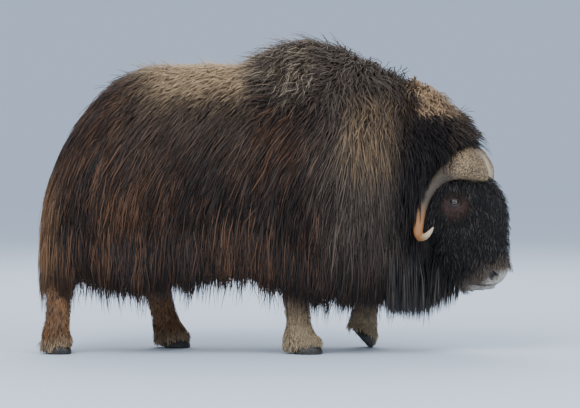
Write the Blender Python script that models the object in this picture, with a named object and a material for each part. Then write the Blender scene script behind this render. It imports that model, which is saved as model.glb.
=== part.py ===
"""A bull muskox in its winter coat, walking, at life size.

The animal walks along +X and its left is +Y. The floor is Z = 0, and the
origin lies on it under the middle of the animal. The right hind foot is about
to leave the ground, the left hind and the right fore foot are planted, and
the left fore foot is flexed with only its toe down. The head hangs low and
turns a little to the right. The coat is a core with flat, tapered locks that
lie over one another like shingles and hang as a skirt round the legs.
"""

import math
import random

import bmesh
import bpy
from mathutils import Matrix, Vector
from mathutils.bvhtree import BVHTree

# Whole animal. Heights are above the floor, places along X from the middle.
HUMP_HEIGHT = 1.405
BACK_HEIGHT = 1.29
RUMP_X = -1.05
SHIFT = Vector((0.004, 0.0, 0.0))
TAIL_ROOT_X = -0.6
BEARD_TIP = 0.165
GAP = 0.0003
MOST_SHELL = 4.0
SEED = 9

# The coat's outline from the side: (x, height) along the back, from the rump
# to the crown, and along the tips of the skirt.
BACK_LINE = (
    (RUMP_X, 0.50), (-1.035, 0.65), (-0.99, 0.81), (-0.90, 1.00), (-0.80, 1.13),
    (-0.67, 1.235), (-0.50, BACK_HEIGHT - 0.005), (-0.30, BACK_HEIGHT), (-0.16, 1.285), (-0.05, 1.335),
    (0.06, 1.385), (0.17, HUMP_HEIGHT), (0.30, 1.375), (0.44, 1.32), (0.58, 1.25),
    (0.70, 1.205), (0.79, 1.135), (0.87, 1.05), (0.93, 0.93),
)
TIP_LINE = (
    (RUMP_X, 0.24), (-0.98, 0.21), (-0.85, 0.27), (-0.70, 0.24), (-0.52, 0.215),
    (-0.30, 0.265), (-0.12, 0.295), (0.05, 0.22), (0.20, 0.165), (0.36, 0.175),
    (0.48, 0.195), (0.62, 0.15), (0.76, 0.145), (0.93, 0.20),
)
BELLY_LINE = ((RUMP_X, 0.50), (-0.85, 0.46), (-0.30, 0.45), (0.20, 0.42), (0.60, 0.42), (0.93, 0.50))
# Half of the coat's width at its widest height, along the body.
WIDTH_LINE = (
    (RUMP_X, 0.045), (-1.035, 0.115), (-0.99, 0.195), (-0.90, 0.270), (-0.76, 0.325),
    (-0.55, 0.360), (-0.20, 0.372), (0.15, 0.380), (0.34, 0.365), (0.50, 0.320),
    (0.65, 0.262), (0.80, 0.215), (0.93, 0.150),
)
WIDEST_HEIGHT = 0.80
BODY_STATIONS = (
    RUMP_X, -1.035, -0.995, -0.93, -0.84, -0.72, -0.58, -0.42, -0.26, -0.12, 0.0,
    0.12, 0.24, 0.37, 0.50, 0.62, 0.73, 0.83, 0.93,
)
RING_SIDES = 20
SKIRT_TUCK = 0.12
CORE_INSET = 0.052

# The cut between torso and neck, and the head's turn and its cut.
NECK_X = 0.47
HEAD_PIVOT = Vector((0.72, 0.0, 0.0))
HEAD_TURN = math.radians(-20)
CROWN_CUT = (0.085, 1.06)
THROAT_CUT = (-0.085, 0.20)

# Coat locks.
LOCK_THICKNESS = 0.010
LOCK_STEPS = 4
LOCK_SPACING = 0.158
TIER_SHARES = (0.07, 0.27, 0.48, 0.69)
SIDE_ROOT = CORE_INSET + 0.030
CREST_ROOT = CORE_INSET + 0.020
# Over the rump: height of the roots, places across it, and the longest length.
RUMP_TIERS = (
    (1.06, (0.0,), 0.14),
    (1.03, (-0.112, 0.112), 0.30),
    (0.92, (-0.116, 0.116), 0.30),
    (0.80, (-0.114, 0.114), 0.30),
    (0.69, (-0.120, 0.120), 0.30),
    (0.62, (0.0,), 0.40),
    (0.56, (-0.130, -0.050, 0.050, 0.130), 0.40),
)
RUMP_LOCK_WIDTH = 0.12

# Head, in its own frame: x ahead of the pivot, height above the floor. Each
# row is the height, the back, the front and half of the width.
HEAD_SLICES = (
    (1.045, 0.030, 0.115, 0.050),
    (1.010, 0.000, 0.140, 0.085),
    (0.960, -0.040, 0.156, 0.110),
    (0.900, -0.080, 0.172, 0.125),
    (0.840, -0.100, 0.200, 0.130),
    (0.780, -0.120, 0.242, 0.132),
    (0.730, -0.130, 0.292, 0.133),
    (0.685, -0.140, 0.320, 0.132),
    (0.640, -0.140, 0.334, 0.127),
    (0.590, -0.130, 0.340, 0.121),
    (0.535, -0.110, 0.341, 0.114),
    (0.480, -0.070, 0.341, 0.105),
    (0.435, -0.005, 0.341, 0.096),
    (0.400, 0.035, 0.344, 0.089),
    (0.370, 0.070, 0.348, 0.084),
    (0.340, 0.100, 0.338, 0.078),
    (0.310, 0.125, 0.312, 0.068),
    (0.285, 0.150, 0.270, 0.052),
)
HEAD_SIDES = 24
EYE_PLACE = Vector((0.136, -0.119, 0.672))
EYE_RADIUS = 0.0195
EYE_SIDES = 12
EYE_RINGS = 8
EYE_GAZE = Vector((0.33, -0.94, 0.02))
LID_THICKNESS = 0.0045
LIP_DEPTH = 0.011
LIP_HEIGHT = 0.0125
NOSTRIL_PLACE = Vector((0.312, -0.055, 0.345))
NOSTRIL_RADII = (0.0085, 0.0175, 0.020)
MOUTH_LINE = (
    (0.330, 0.0, 0.308),
    (0.305, -0.045, 0.308),
    (0.262, -0.070, 0.311),
    (0.205, -0.080, 0.322),
)

# Horns, right one, in the head's frame: place, half width along the forehead,
# half thickness. The first rows are the boss.
HORN_ROWS = (
    ((0.204, -0.006, 0.836), 0.086, 0.032),
    ((0.206, -0.032, 0.836), 0.098, 0.046),
    ((0.196, -0.076, 0.830), 0.094, 0.050),
    ((0.170, -0.120, 0.812), 0.078, 0.045),
    ((0.132, -0.153, 0.784), 0.058, 0.037),
    ((0.090, -0.173, 0.748), 0.041, 0.029),
    ((0.053, -0.194, 0.702), 0.032, 0.026),
    ((0.026, -0.214, 0.648), 0.027, 0.0235),
    ((0.014, -0.236, 0.592), 0.0245, 0.0215),
    ((0.020, -0.258, 0.542), 0.022, 0.0195),
    ((0.044, -0.277, 0.516), 0.0195, 0.018),
    ((0.076, -0.292, 0.517), 0.0160, 0.015),
    ((0.104, -0.303, 0.536), 0.0110, 0.010),
    ((0.126, -0.311, 0.566), 0.0030, 0.003),
)
HORN_SIDES = 12
BOSS_ROWS = 6
FOREHEAD_DOWN = Vector((0.578, 0.0, -0.816))

EAR_ROOT = Vector((0.040, -0.118, 0.742))
EAR_TIP = Vector((-0.015, -0.262, 0.700))
EAR_WIDTH = 0.062
EAR_SIDES = 10
EAR_OUTLINE = ((-0.18, 0.50), (0.0, 0.62), (0.2, 0.85), (0.45, 1.0), (0.7, 0.82), (0.88, 0.48), (1.0, 0.12))

# Tail: height, how far inside the rump's outline, half width, half thickness.
TAIL_ROWS = (
    (0.960, 0.090, 0.026, 0.020),
    (0.935, 0.052, 0.032, 0.022),
    (0.905, 0.020, 0.034, 0.024),
    (0.860, 0.004, 0.036, 0.022),
    (0.790, 0.000, 0.032, 0.018),
    (0.720, 0.000, 0.020, 0.012),
    (0.675, 0.000, 0.006, 0.005),
)
TAIL_SIDES = 8

# Legs: rows of place, half depth along X and half width, from the top down.
LEG_ROWS = {
    "right_fore": (
        ((0.100, -0.185, 0.62), 0.105, 0.080),
        ((0.100, -0.180, 0.48), 0.080, 0.062),
        ((0.104, -0.172, 0.36), 0.064, 0.052),
        ((0.107, -0.168, 0.24), 0.055, 0.046),
        ((0.116, -0.166, 0.15), 0.048, 0.044),
        ((0.120, -0.166, 0.095), 0.058, 0.052),
        ((0.140, -0.166, 0.048), 0.070, 0.057),
    ),
    "left_fore": (
        ((0.320, 0.185, 0.62), 0.105, 0.080),
        ((0.375, 0.180, 0.48), 0.082, 0.062),
        ((0.425, 0.172, 0.36), 0.066, 0.053),
        ((0.437, 0.168, 0.26), 0.058, 0.048),
        ((0.425, 0.166, 0.185), 0.050, 0.045),
        ((0.412, 0.166, 0.135), 0.056, 0.052),
        ((0.407, 0.166, 0.088), 0.060, 0.056),
    ),
    "right_hind": (
        ((-0.800, -0.185, 0.64), 0.135, 0.090),
        ((-0.860, -0.180, 0.50), 0.098, 0.070),
        ((-0.925, -0.172, 0.37), 0.068, 0.052),
        ((-0.945, -0.168, 0.27), 0.054, 0.044),
        ((-0.950, -0.166, 0.17), 0.049, 0.042),
        ((-0.957, -0.166, 0.105), 0.053, 0.047),
        ((-0.950, -0.166, 0.050), 0.058, 0.050),
    ),
    "left_hind": (
        ((-0.640, 0.185, 0.64), 0.135, 0.090),
        ((-0.610, 0.180, 0.50), 0.098, 0.070),
        ((-0.565, 0.172, 0.37), 0.070, 0.052),
        ((-0.527, 0.168, 0.27), 0.056, 0.044),
        ((-0.498, 0.166, 0.175), 0.052, 0.042),
        ((-0.478, 0.166, 0.105), 0.056, 0.047),
        ((-0.452, 0.166, 0.050), 0.066, 0.050),
    ),
}
LEG_SIDES = 12
# Feet: middle of the two claws on the floor, claw length, width of the pair,
# and how far the foot is tipped on to its toe.
FEET = {
    "right_fore": (Vector((0.160, -0.166, 0.0)), 0.125, 0.128, 0.0),
    "left_fore": (Vector((0.385, 0.166, 0.0)), 0.120, 0.124, math.radians(47)),
    "right_hind": (Vector((-0.945, -0.166, 0.0)), 0.108, 0.108, 0.0),
    "left_hind": (Vector((-0.432, 0.166, 0.0)), 0.116, 0.108, 0.0),
}
HOOF_HEIGHT = 0.046
CLEFT = 0.010
# A claw's rows: height, size, and how far its front leans back.
CLAW_ROWS = ((0.0, 1.0, 0.0), (0.012, 1.02, 0.001), (HOOF_HEIGHT, 0.84, 0.012))

COLOURS = {
    "coat": ((0.055, 0.032, 0.022), 0.85),
    "mane": ((0.062, 0.042, 0.032), 0.85),
    "face": ((0.022, 0.017, 0.015), 0.80),
    "leg": ((0.26, 0.17, 0.10), 0.85),
    "horn": ((0.42, 0.30, 0.17), 0.55),
    "hoof": ((0.030, 0.026, 0.023), 0.45),
    "eye": ((0.020, 0.014, 0.012), 0.08),
    "ear": ((0.060, 0.042, 0.032), 0.85),
}


def clear_scene():
    """Removes every object of the startup scene."""
    for obj in list(bpy.data.objects):
        bpy.data.objects.remove(obj, do_unlink=True)


def material(name):
    """The finish of that name, made on first use."""
    made = bpy.data.materials.get(name)
    if made is None:
        colour, roughness = COLOURS[name]
        made = bpy.data.materials.new(name)
        made.use_nodes = True
        shader = made.node_tree.nodes["Principled BSDF"]
        shader.inputs["Base Color"].default_value = (*colour, 1.0)
        shader.inputs["Roughness"].default_value = roughness
    return made


def smooth_line(points, x):
    """Height at x on a smooth curve through (x, height) points, with no overshoot."""
    if x <= points[0][0]:
        return points[0][1]
    if x >= points[-1][0]:
        return points[-1][1]
    slopes = [(b[1] - a[1]) / (b[0] - a[0]) for a, b in zip(points, points[1:])]
    i = max(k for k in range(len(slopes)) if points[k][0] <= x)

    def tangent(k):
        if k in (0, len(slopes)):
            return slopes[min(k, len(slopes) - 1)]
        before, after = slopes[k - 1], slopes[k]
        return 0.0 if before * after <= 0 else 2 * before * after / (before + after)

    (x0, z0), (x1, z1) = points[i], points[i + 1]
    span = x1 - x0
    t = (x - x0) / span
    return (
        z0 * (1 + 2 * t) * (1 - t) ** 2
        + z1 * t * t * (3 - 2 * t)
        + span * t * (1 - t) * (tangent(i) * (1 - t) - tangent(i + 1) * t)
    )


def blend(value, low, high):
    """0 below low, 1 above high, and smooth between them."""
    t = min(1.0, max(0.0, (value - low) / (high - low)))
    return t * t * (3 - 2 * t)


def add_mesh(name, bm, finish):
    """A scene object from a bmesh, which it frees."""
    mesh = bpy.data.meshes.new(name)
    bm.to_mesh(mesh)
    bm.free()
    obj = bpy.data.objects.new(name, mesh)
    bpy.context.scene.collection.objects.link(obj)
    mesh.materials.append(material(finish))
    return obj


def loft(rings):
    """A closed bmesh through rings of equal length, with a fan at each end."""
    bm = bmesh.new()
    rows = [[bm.verts.new(p) for p in ring] for ring in rings]
    count = len(rows[0])
    for a, b in zip(rows, rows[1:]):
        for i in range(count):
            j = (i + 1) % count
            bm.faces.new((a[i], a[j], b[j], b[i]))
    for row in (rows[0], rows[-1]):
        middle = bm.verts.new(sum((v.co for v in row), Vector()) / count)
        for i in range(count):
            bm.faces.new((row[i], row[(i + 1) % count], middle))
    bmesh.ops.recalc_face_normals(bm, faces=bm.faces)
    bmesh.ops.triangulate(bm, faces=bm.faces)
    return bm


def pointed(rings, tip):
    """A closed bmesh through rings that ends in one point."""
    bm = bmesh.new()
    rows = [[bm.verts.new(p) for p in ring] for ring in rings]
    count = len(rows[0])
    for a, b in zip(rows, rows[1:]):
        for i in range(count):
            j = (i + 1) % count
            bm.faces.new((a[i], a[j], b[j], b[i]))
    bm.faces.new(rows[0])
    end = bm.verts.new(tip)
    for i in range(count):
        bm.faces.new((rows[-1][i], rows[-1][(i + 1) % count], end))
    bmesh.ops.recalc_face_normals(bm, faces=bm.faces)
    bmesh.ops.triangulate(bm, faces=bm.faces)
    return bm


def bake(obj):
    """Puts the object's modifiers into its mesh."""
    graph = bpy.context.evaluated_depsgraph_get()
    mesh = bpy.data.meshes.new_from_object(obj.evaluated_get(graph))
    obj.modifiers.clear()
    obj.data = mesh


def keep_largest(obj):
    """Keeps only the mesh's largest closed surface, in triangles."""
    bm = bmesh.new()
    bm.from_mesh(obj.data)
    unseen, islands = set(bm.faces), []
    while unseen:
        stack, island = [unseen.pop()], []
        while stack:
            face = stack.pop()
            island.append(face)
            for edge in face.edges:
                for other in edge.link_faces:
                    if other in unseen:
                        unseen.remove(other)
                        stack.append(other)
        islands.append(island)
    islands.sort(key=lambda faces: sum(f.calc_area() for f in faces), reverse=True)
    scraps = [f for island in islands[1:] for f in island]
    if scraps:
        bmesh.ops.delete(bm, geom=scraps, context="FACES")
        loose = [v for v in bm.verts if not v.link_faces]
        bmesh.ops.delete(bm, geom=loose, context="VERTS")
    bmesh.ops.triangulate(bm, faces=bm.faces)
    bm.to_mesh(obj.data)
    bm.free()


def fuse(base, pieces):
    """Joins closed pieces to base in one union, and removes the pieces."""
    group = bpy.data.collections.new(base.name + "_pieces")
    bpy.context.scene.collection.children.link(group)
    for piece in pieces:
        bpy.context.scene.collection.objects.unlink(piece)
        group.objects.link(piece)
    join = base.modifiers.new("join", "BOOLEAN")
    join.operation = "UNION"
    join.operand_type = "COLLECTION"
    join.collection = group
    join.solver = "MANIFOLD"
    bake(base)
    for piece in pieces:
        bpy.data.objects.remove(piece, do_unlink=True)
    bpy.data.collections.remove(group)
    keep_largest(base)
    return base


def carve(obj, cutter):
    """Cuts one object out of another."""
    cut = obj.modifiers.new("cut", "BOOLEAN")
    cut.operation = "DIFFERENCE"
    cut.object = cutter
    cut.solver = "MANIFOLD"
    bake(obj)
    bpy.data.objects.remove(cutter, do_unlink=True)
    keep_largest(obj)
    return obj


def grow(bm, by):
    """Moves a bmesh's surface outwards, or inwards where by is below zero."""
    bm.normal_update()
    moves = [v.normal * by * min(MOST_SHELL, v.calc_shell_factor()) for v in bm.verts]
    for vert, move in zip(bm.verts, moves):
        vert.co += move


def clear_of(obj, *others):
    """Cuts obj clear of simple neighbours, with the gap between them."""
    for other in others:
        bm = bmesh.new()
        bm.from_mesh(other.data)
        grow(bm, GAP * 1.5)
        carve(obj, add_mesh("room", bm, "coat"))
    return obj


def seat_against(obj, *others):
    """Cuts simple obj where its shaggy neighbours are, then draws it back by the gap."""
    for other in others:
        carve(obj, add_copy(other))
    bm = bmesh.new()
    bm.from_mesh(obj.data)
    grow(bm, -GAP * 1.5)
    bm.to_mesh(obj.data)
    bm.free()
    return obj


def add_copy(obj):
    """A second object with its own copy of the mesh."""
    copy = obj.copy()
    copy.data = obj.data.copy()
    bpy.context.scene.collection.objects.link(copy)
    return copy


def half_space(point, normal):
    """A large block that fills the side of a plane that its normal points to."""
    bm = bmesh.new()
    size = 4.0
    bmesh.ops.create_cube(bm, size=size)
    turn = Vector((0, 0, 1)).rotation_difference(normal.normalized()).to_matrix().to_4x4()
    place = Matrix.Translation(point + normal.normalized() * size / 2) @ turn
    bmesh.ops.transform(bm, matrix=place, verts=bm.verts)
    return add_mesh("side", bm, "coat")


def ellipsoid(name, middle, radii, turn=None, finish="coat", segments=12, rings=8):
    """A stretched sphere as a scene object."""
    bm = bmesh.new()
    bmesh.ops.create_uvsphere(bm, u_segments=segments, v_segments=rings, radius=1.0)
    shape = Matrix.Diagonal((*radii, 1.0))
    turn = turn.to_matrix().to_4x4() if turn else Matrix.Identity(4)
    bmesh.ops.transform(bm, matrix=Matrix.Translation(middle) @ turn @ shape, verts=bm.verts)
    return add_mesh(name, bm, finish)


def side_of(point, left):
    """A right-hand place, or its mirror image on the left."""
    return Vector((point[0], -point[1], point[2])) if left else Vector(point)


def head_to_body(point):
    """From the head's own frame to the animal's."""
    return HEAD_PIVOT + Matrix.Rotation(HEAD_TURN, 3, "Z") @ Vector(point)


def place_head_part(obj):
    """Moves an object made in the head's own frame on to the turned head."""
    obj.data.transform(Matrix.Translation(HEAD_PIVOT) @ Matrix.Rotation(HEAD_TURN, 4, "Z"))
    return obj


def body_ring(x, low):
    """One ring of the coat's outline at x, from the back line down to the given height."""
    top = smooth_line(BACK_LINE, x)
    width = smooth_line(WIDTH_LINE, x)
    waist = min(WIDEST_HEIGHT, (top + low) / 2 + 0.02)
    half = RING_SIDES // 2
    hump = blend(x, -0.15, 0.15) * (1 - blend(x, 0.45, 0.65))
    ring = []
    for i in range(RING_SIDES):
        side = 1 if i <= half else -1
        t = (i if i <= half else RING_SIDES - i) / half
        if t < 0.5:
            angle = t * math.pi
            y = width * math.sin(angle) ** (1.0 + 0.25 * hump)
            z = waist + (top - waist) * math.cos(angle) ** (0.9 - 0.1 * hump)
        else:
            angle = (t - 0.5) * math.pi
            y = width * math.cos(angle) ** 0.32 * (1 - SKIRT_TUCK * math.sin(angle) ** 2)
            z = waist - (waist - low) * math.sin(angle) ** 0.95
            y = 0.0 if i == half else y
        ring.append(Vector((x, side * y, z)))
    return ring


def body_mesh(low_line, drop=0.0, inset=0.0):
    """The trunk and neck as one closed bmesh, whose underside follows low_line.

    The inset takes the coat's depth off all round and off the rump.
    """
    first = RUMP_X + inset
    stations = [first] + [x for x in BODY_STATIONS if x > first]
    bm = loft([body_ring(x, smooth_line(low_line, x) - drop) for x in stations])
    bm.normal_update()
    for vert in bm.verts:
        vert.co.y -= vert.normal.y * inset
        vert.co.z -= vert.normal.z * inset
    return bm


def lie_of_coat(p, normal):
    """The way the hair points at p, along the coat's surface."""
    back = 0.62 * blend(p.z, 0.42, 1.10) + 0.04
    back *= 1 - 1.1 * blend(p.x, 0.22, 0.42)
    back *= 0.35 + 0.65 * blend(p.x, -0.95, -0.55)
    crest = blend(normal.z, 0.45, 0.9)
    out = 0.9 if p.y > 0 else -0.9
    flow = Vector((-back - 0.5 * crest, out * crest, -1.0))
    flow -= normal * flow.dot(normal)
    return flow.normalized()


def guide_of(bm):
    """A search tree on a bmesh, which it frees."""
    tree = BVHTree.FromBMesh(bm)
    bm.free()
    return tree


def lock(path, normals, width, thickness):
    """A flat, tapered lock along a path, with a ridge down its outer side."""
    shares = (0.66, 1.0, 0.92, 0.60)
    rings = []
    for i, (p, normal) in enumerate(zip(path[:-1], normals)):
        along = (path[i + 1] - p).normalized()
        across = along.cross(normal).normalized()
        half = width * shares[i] / 2
        ridge = normal * thickness * (1.0 - 0.12 * i)
        rings.append([p - across * half, p + ridge, p + across * half])
    return add_mesh("lock", pointed(rings, path[-1]), "coat")


def lock_along(guide, start, length, width, depth, sunk, rng, flow=lie_of_coat):
    """One lock whose root lies under the coat's surface and whose tip reaches it.

    start is a place on the guide surface, depth how far under it the lock lies
    at its middle, and sunk how far under it its root is.
    """
    place, normal, _, _ = guide.find_nearest(start)
    sway = rng.uniform(-0.10, 0.10)
    depths = (sunk, depth + 0.010, depth + 0.003, depth * 0.7, depth * 0.3)
    reach = (0.0, 0.18, 0.45, 0.74, 1.0)
    path, normals = [], []
    for i in range(LOCK_STEPS + 1):
        path.append(place - normal * depths[i])
        normals.append(normal.copy())
        if i == LOCK_STEPS:
            break
        way = flow(place, normal)
        across = way.cross(normal)
        way = (way + across * sway * math.cos(2.8 * i)).normalized()
        step = (reach[i + 1] - reach[i]) * length
        near, new_normal, _, _ = guide.find_nearest(place + way * step)
        place, normal = near, (normal + new_normal * 2).normalized()
    return lock(path, normals, width, LOCK_THICKNESS)


def side_starts(guide, xs, share, side, rng):
    """Places for roots along one tier of one side, at a share of the way down the coat."""
    found = []
    for x in xs:
        top, tip = smooth_line(BACK_LINE, x), smooth_line(TIP_LINE, x)
        x += rng.uniform(-0.018, 0.018)
        z = top + (tip - top) * share + rng.uniform(-0.018, 0.018)
        hit = guide.ray_cast(Vector((x, side * 2.0, z)), Vector((0, -side, 0)))
        if hit[0] is not None:
            found.append(hit[0])
    return found


def body_locks(guide, first_x, last_x, rng):
    """The locks of both sides, in tiers, between two places along the body."""
    locks = []
    count = max(2, round((last_x - first_x) / LOCK_SPACING))
    for side in (-1, 1):
        for tier, share in enumerate(TIER_SHARES):
            shift = 0.5 * (tier % 2)
            xs = [first_x + (last_x - first_x) * (i + 0.25 + shift) / count for i in range(count)]
            for i, start in enumerate(side_starts(guide, xs, share, side, rng)):
                room = start.z - smooth_line(TIP_LINE, start.x)
                reaches_tip = tier >= len(TIER_SHARES) - 2
                length = room if reaches_tip else min(room, 0.34 + 0.05 * tier)
                length += rng.uniform(-0.035, 0.015)
                depth = 0.010 + 0.016 * (i % 2)
                width = LOCK_SPACING * rng.uniform(1.05, 1.25)
                locks.append(lock_along(guide, start, length, width, depth, SIDE_ROOT, rng))
    return locks


def crest_locks(guide, first_x, last_x, rng):
    """Short locks along the top of the back and the hump."""
    locks = []
    count = round((last_x - first_x) / (LOCK_SPACING * 0.9))
    for i in range(count):
        x = first_x + (last_x - first_x) * (i + 0.5) / count
        for side in (-1, 1):
            y = side * (0.020 + 0.018 * (i % 2))
            hit = guide.ray_cast(Vector((x, y, 3.0)), Vector((0, 0, -1)))
            length = rng.uniform(0.17, 0.22)
            depth = 0.012 * (i % 2)
            locks.append(lock_along(guide, hit[0], length, 0.115, depth, CREST_ROOT, rng))
    return locks


def rump_locks(guide, rng):
    """Locks that hang over the rump, on both sides of the tail and under it."""
    locks = []
    for height, places, longest in RUMP_TIERS:
        for i, y in enumerate(places):
            z = height + rng.uniform(-0.010, 0.010)
            hit = guide.ray_cast(Vector((-3.0, y, z)), Vector((1, 0, 0)))
            room = hit[0].z - smooth_line(TIP_LINE, hit[0].x)
            length = min(longest, room) * rng.uniform(0.95, 1.03)
            depth = 0.010 + 0.014 * (i % 2)
            locks.append(lock_along(guide, hit[0], length, RUMP_LOCK_WIDTH, depth, CREST_ROOT, rng))
    return locks


def throat_locks(rng):
    """The curtain of mane that hangs across the chest, between the two sides."""
    locks = []
    for row in range(3):
        x = NECK_X + 0.05 + 0.065 * row
        for i in range(5):
            y = 0.085 * (i - 2) + 0.02 * (row % 2)
            start = Vector((x, y, 0.52))
            reach = start.z - smooth_line(TIP_LINE, x) + rng.uniform(-0.05, 0.0)
            way = Vector((0.05, 0.25 * y, -1.0))
            locks.append(hanging_lock(start, way, reach, 0.095, rng))
    return locks


def make_trunk(tail):
    """The torso, cut clear of the tail, and the neck, each a core with its locks."""
    rng = random.Random(SEED)
    guide = guide_of(body_mesh(TIP_LINE, drop=0.14))
    torso = add_mesh("torso", body_mesh(BELLY_LINE, inset=CORE_INSET), "coat")
    neck = add_copy(torso)
    neck.name = "neck"
    neck.data.materials[0] = material("mane")
    clear_of(torso, tail)
    pieces = body_locks(guide, -0.92, NECK_X - 0.01, rng)
    pieces += crest_locks(guide, -0.72, NECK_X - 0.02, rng)
    pieces += rump_locks(guide, rng)
    fuse(torso, pieces)
    pieces = body_locks(guide, NECK_X + 0.045, 0.86, rng)
    pieces += crest_locks(guide, NECK_X + 0.06, 0.84, rng)
    pieces += throat_locks(rng)
    fuse(neck, pieces)
    cut = Vector((NECK_X, 0, 0))
    carve(torso, half_space(cut - Vector((GAP / 2, 0, 0)), Vector((1, 0, 0))))
    carve(neck, half_space(cut + Vector((GAP / 2, 0, 0)), Vector((-1, 0, 0))))
    return torso, neck


def head_ring(z, back, front, width):
    """One level ring of the head: blunt in front, rounder behind."""
    middle = back + (front - back) * 0.50
    ring = []
    for i in range(HEAD_SIDES):
        angle = 2 * math.pi * i / HEAD_SIDES
        c, s = math.cos(angle), math.sin(angle)
        half = front - middle if c > 0 else middle - back
        taper = 1 - 0.20 * max(0.0, c) ** 2
        x = middle + half * math.copysign(abs(c) ** 0.85, c)
        y = width * taper * math.copysign(abs(s) ** 0.85, s)
        ring.append(Vector((x, y, z)))
    return ring


def swell(bm, middle, radius, push):
    """Moves the points round a place by push, fading out to the radius."""
    for vert in bm.verts:
        share = 1 - (vert.co - middle).length / radius
        if share > 0:
            vert.co += push * (share * share * (3 - 2 * share))


def head_core():
    """The head's own shape: orbits, brows, nose and jaw, in the head's frame."""
    bm = loft([head_ring(*row) for row in HEAD_SLICES])
    for side in (-1, 1):
        out = Vector((0, side, 0))
        eye = Vector((EYE_PLACE.x, EYE_PLACE.y * -side, EYE_PLACE.z))
        swell(bm, eye + Vector((0.0, 0, 0.045)), 0.085, out * 0.016)
        swell(bm, eye + Vector((0.075, 0, -0.08)), 0.10, out * -0.012)
        swell(bm, Vector((0.310, side * 0.055, 0.365)), 0.055, out * 0.012 + Vector((0.004, 0, 0)))
        swell(bm, Vector((0.12, side * 0.11, 0.50)), 0.12, out * 0.012)
    return add_mesh("head", bm, "face")


def crown_flow(p, normal):
    """Forwards and outwards over the crown, then down to the boss."""
    flow = Vector((0.8, 6.0 * p.y, -0.9))
    flow -= normal * flow.dot(normal)
    return flow.normalized()


def cheek_flow(p, normal):
    """Down and a little back over the cheek."""
    flow = Vector((-0.25, 0.0, -1.0))
    flow -= normal * flow.dot(normal)
    return flow.normalized()


def hanging_lock(start, way, length, width, rng):
    """A lock that leaves its root in one direction and bends down under its weight."""
    way = way.normalized()
    path, normals = [start - way * 0.030], []
    p, d = start.copy(), way.copy()
    step = length / LOCK_STEPS
    for i in range(LOCK_STEPS):
        path.append(p.copy())
        d = (d + Vector((rng.uniform(-0.05, 0.05), rng.uniform(-0.05, 0.05), -0.45))).normalized()
        p += d * step
    outwards = Vector((way.x, way.y, 0.0))
    if outwards.length < 0.1:
        outwards = Vector((0, 1, 0))
    outwards.normalize()
    for i in range(LOCK_STEPS + 1):
        along = (path[min(i + 1, LOCK_STEPS)] - path[max(i - 1, 0)]).normalized()
        normal = outwards - along * outwards.dot(along)
        normals.append(normal.normalized())
    return lock(path, normals, width, LOCK_THICKNESS * 0.8)


def crown_locks(tree, rng):
    """The dark tuft over the boss: two tiers that lie down, and a few that stand up."""
    locks = []
    for tier, (x, spread) in enumerate(((0.085, 0.040), (0.020, 0.055))):
        for i in range(4 - tier):
            y = spread * (i - (3 - tier) / 2)
            hit = tree.ray_cast(Vector((x - 0.3 * abs(y), y, 2.0)), Vector((0, 0, -1)))
            depth = -0.008 - 0.008 * (i % 2)
            locks.append(lock_along(tree, hit[0], 0.17, 0.09, depth, 0.025, rng, crown_flow))
    for i in range(4):
        y = 0.045 * (i - 1.5)
        hit = tree.ray_cast(Vector((0.055 - 0.2 * abs(y), y, 2.0)), Vector((0, 0, -1)))
        way = Vector((0.45, 4.0 * y, 1.3))
        locks.append(hanging_lock(hit[0], way, rng.uniform(0.10, 0.13), 0.06, rng))
    return locks


def cheek_locks(tree, rng):
    """The longer hair behind the horns, over the back of the cheeks."""
    locks = []
    for side in (-1, 1):
        for row, z in enumerate((0.92, 0.80, 0.66)):
            hit = tree.ray_cast(Vector((0.045 + 0.015 * row, side, z)), Vector((0, -side, 0)))
            depth = -0.006 - 0.006 * (row % 2)
            locks.append(lock_along(tree, hit[0], 0.21, 0.10, depth, 0.025, rng, cheek_flow))
    return locks


def beard_locks(tree, rng):
    """The beard that hangs from the jaw and the throat."""
    locks = []
    rows = ((0.54, -0.08, 0.05), (0.45, -0.01, 0.11), (0.38, 0.08, 0.17))
    for z, low, high in rows:
        for side in (-1, 1):
            for i in range(2):
                x = low + (high - low) * (i + 0.5) / 2
                hit = tree.ray_cast(Vector((x, side, z)), Vector((0, -side, 0)))
                way = Vector((-0.08, side * 0.32, -0.9))
                floor = BEARD_TIP + 0.02 * rng.random() + 0.05 * blend(x, 0.05, 0.17)
                locks.append(hanging_lock(hit[0], way, hit[0].z - floor, 0.095, rng))
    for i in range(3):
        x = 0.01 + 0.06 * i
        hit = tree.ray_cast(Vector((x, 0.02 * (-1) ** i, 0.0)), Vector((0, 0, 1)))
        reach = max(0.10, hit[0].z - BEARD_TIP - 0.03 * rng.random() - 0.05 * blend(x, 0.05, 0.14))
        locks.append(hanging_lock(hit[0], Vector((-0.2, 0, -1)), reach, 0.075, rng))
    return locks


def head_locks(core, rng):
    """All locks of the head, rooted on its own shape."""
    bm = bmesh.new()
    bm.from_mesh(core.data)
    tree = guide_of(bm)
    return crown_locks(tree, rng) + cheek_locks(tree, rng) + beard_locks(tree, rng)


def eye_socket(head, left):
    """Adds the lids and cuts the room for one eye, in the head's frame."""
    place, gaze = side_of(EYE_PLACE, left), side_of(EYE_GAZE, left).normalized()
    lids = ellipsoid("lids", place, (EYE_RADIUS + LID_THICKNESS,) * 3)
    carve(head, ellipsoid("pit", place + gaze * 0.012, (0.031, 0.020, 0.026)))
    fuse(head, [lids])
    turn = gaze.to_track_quat("Z", "Y")
    opening = place + gaze * (EYE_RADIUS + LID_THICKNESS)
    carve(head, ellipsoid("slit", opening, (0.0170, 0.0105, 0.016), turn=turn))
    room = (EYE_RADIUS + GAP * 2,) * 3
    carve(head, ellipsoid("ball_room", place, room, segments=EYE_SIDES, rings=EYE_RINGS))


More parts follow.
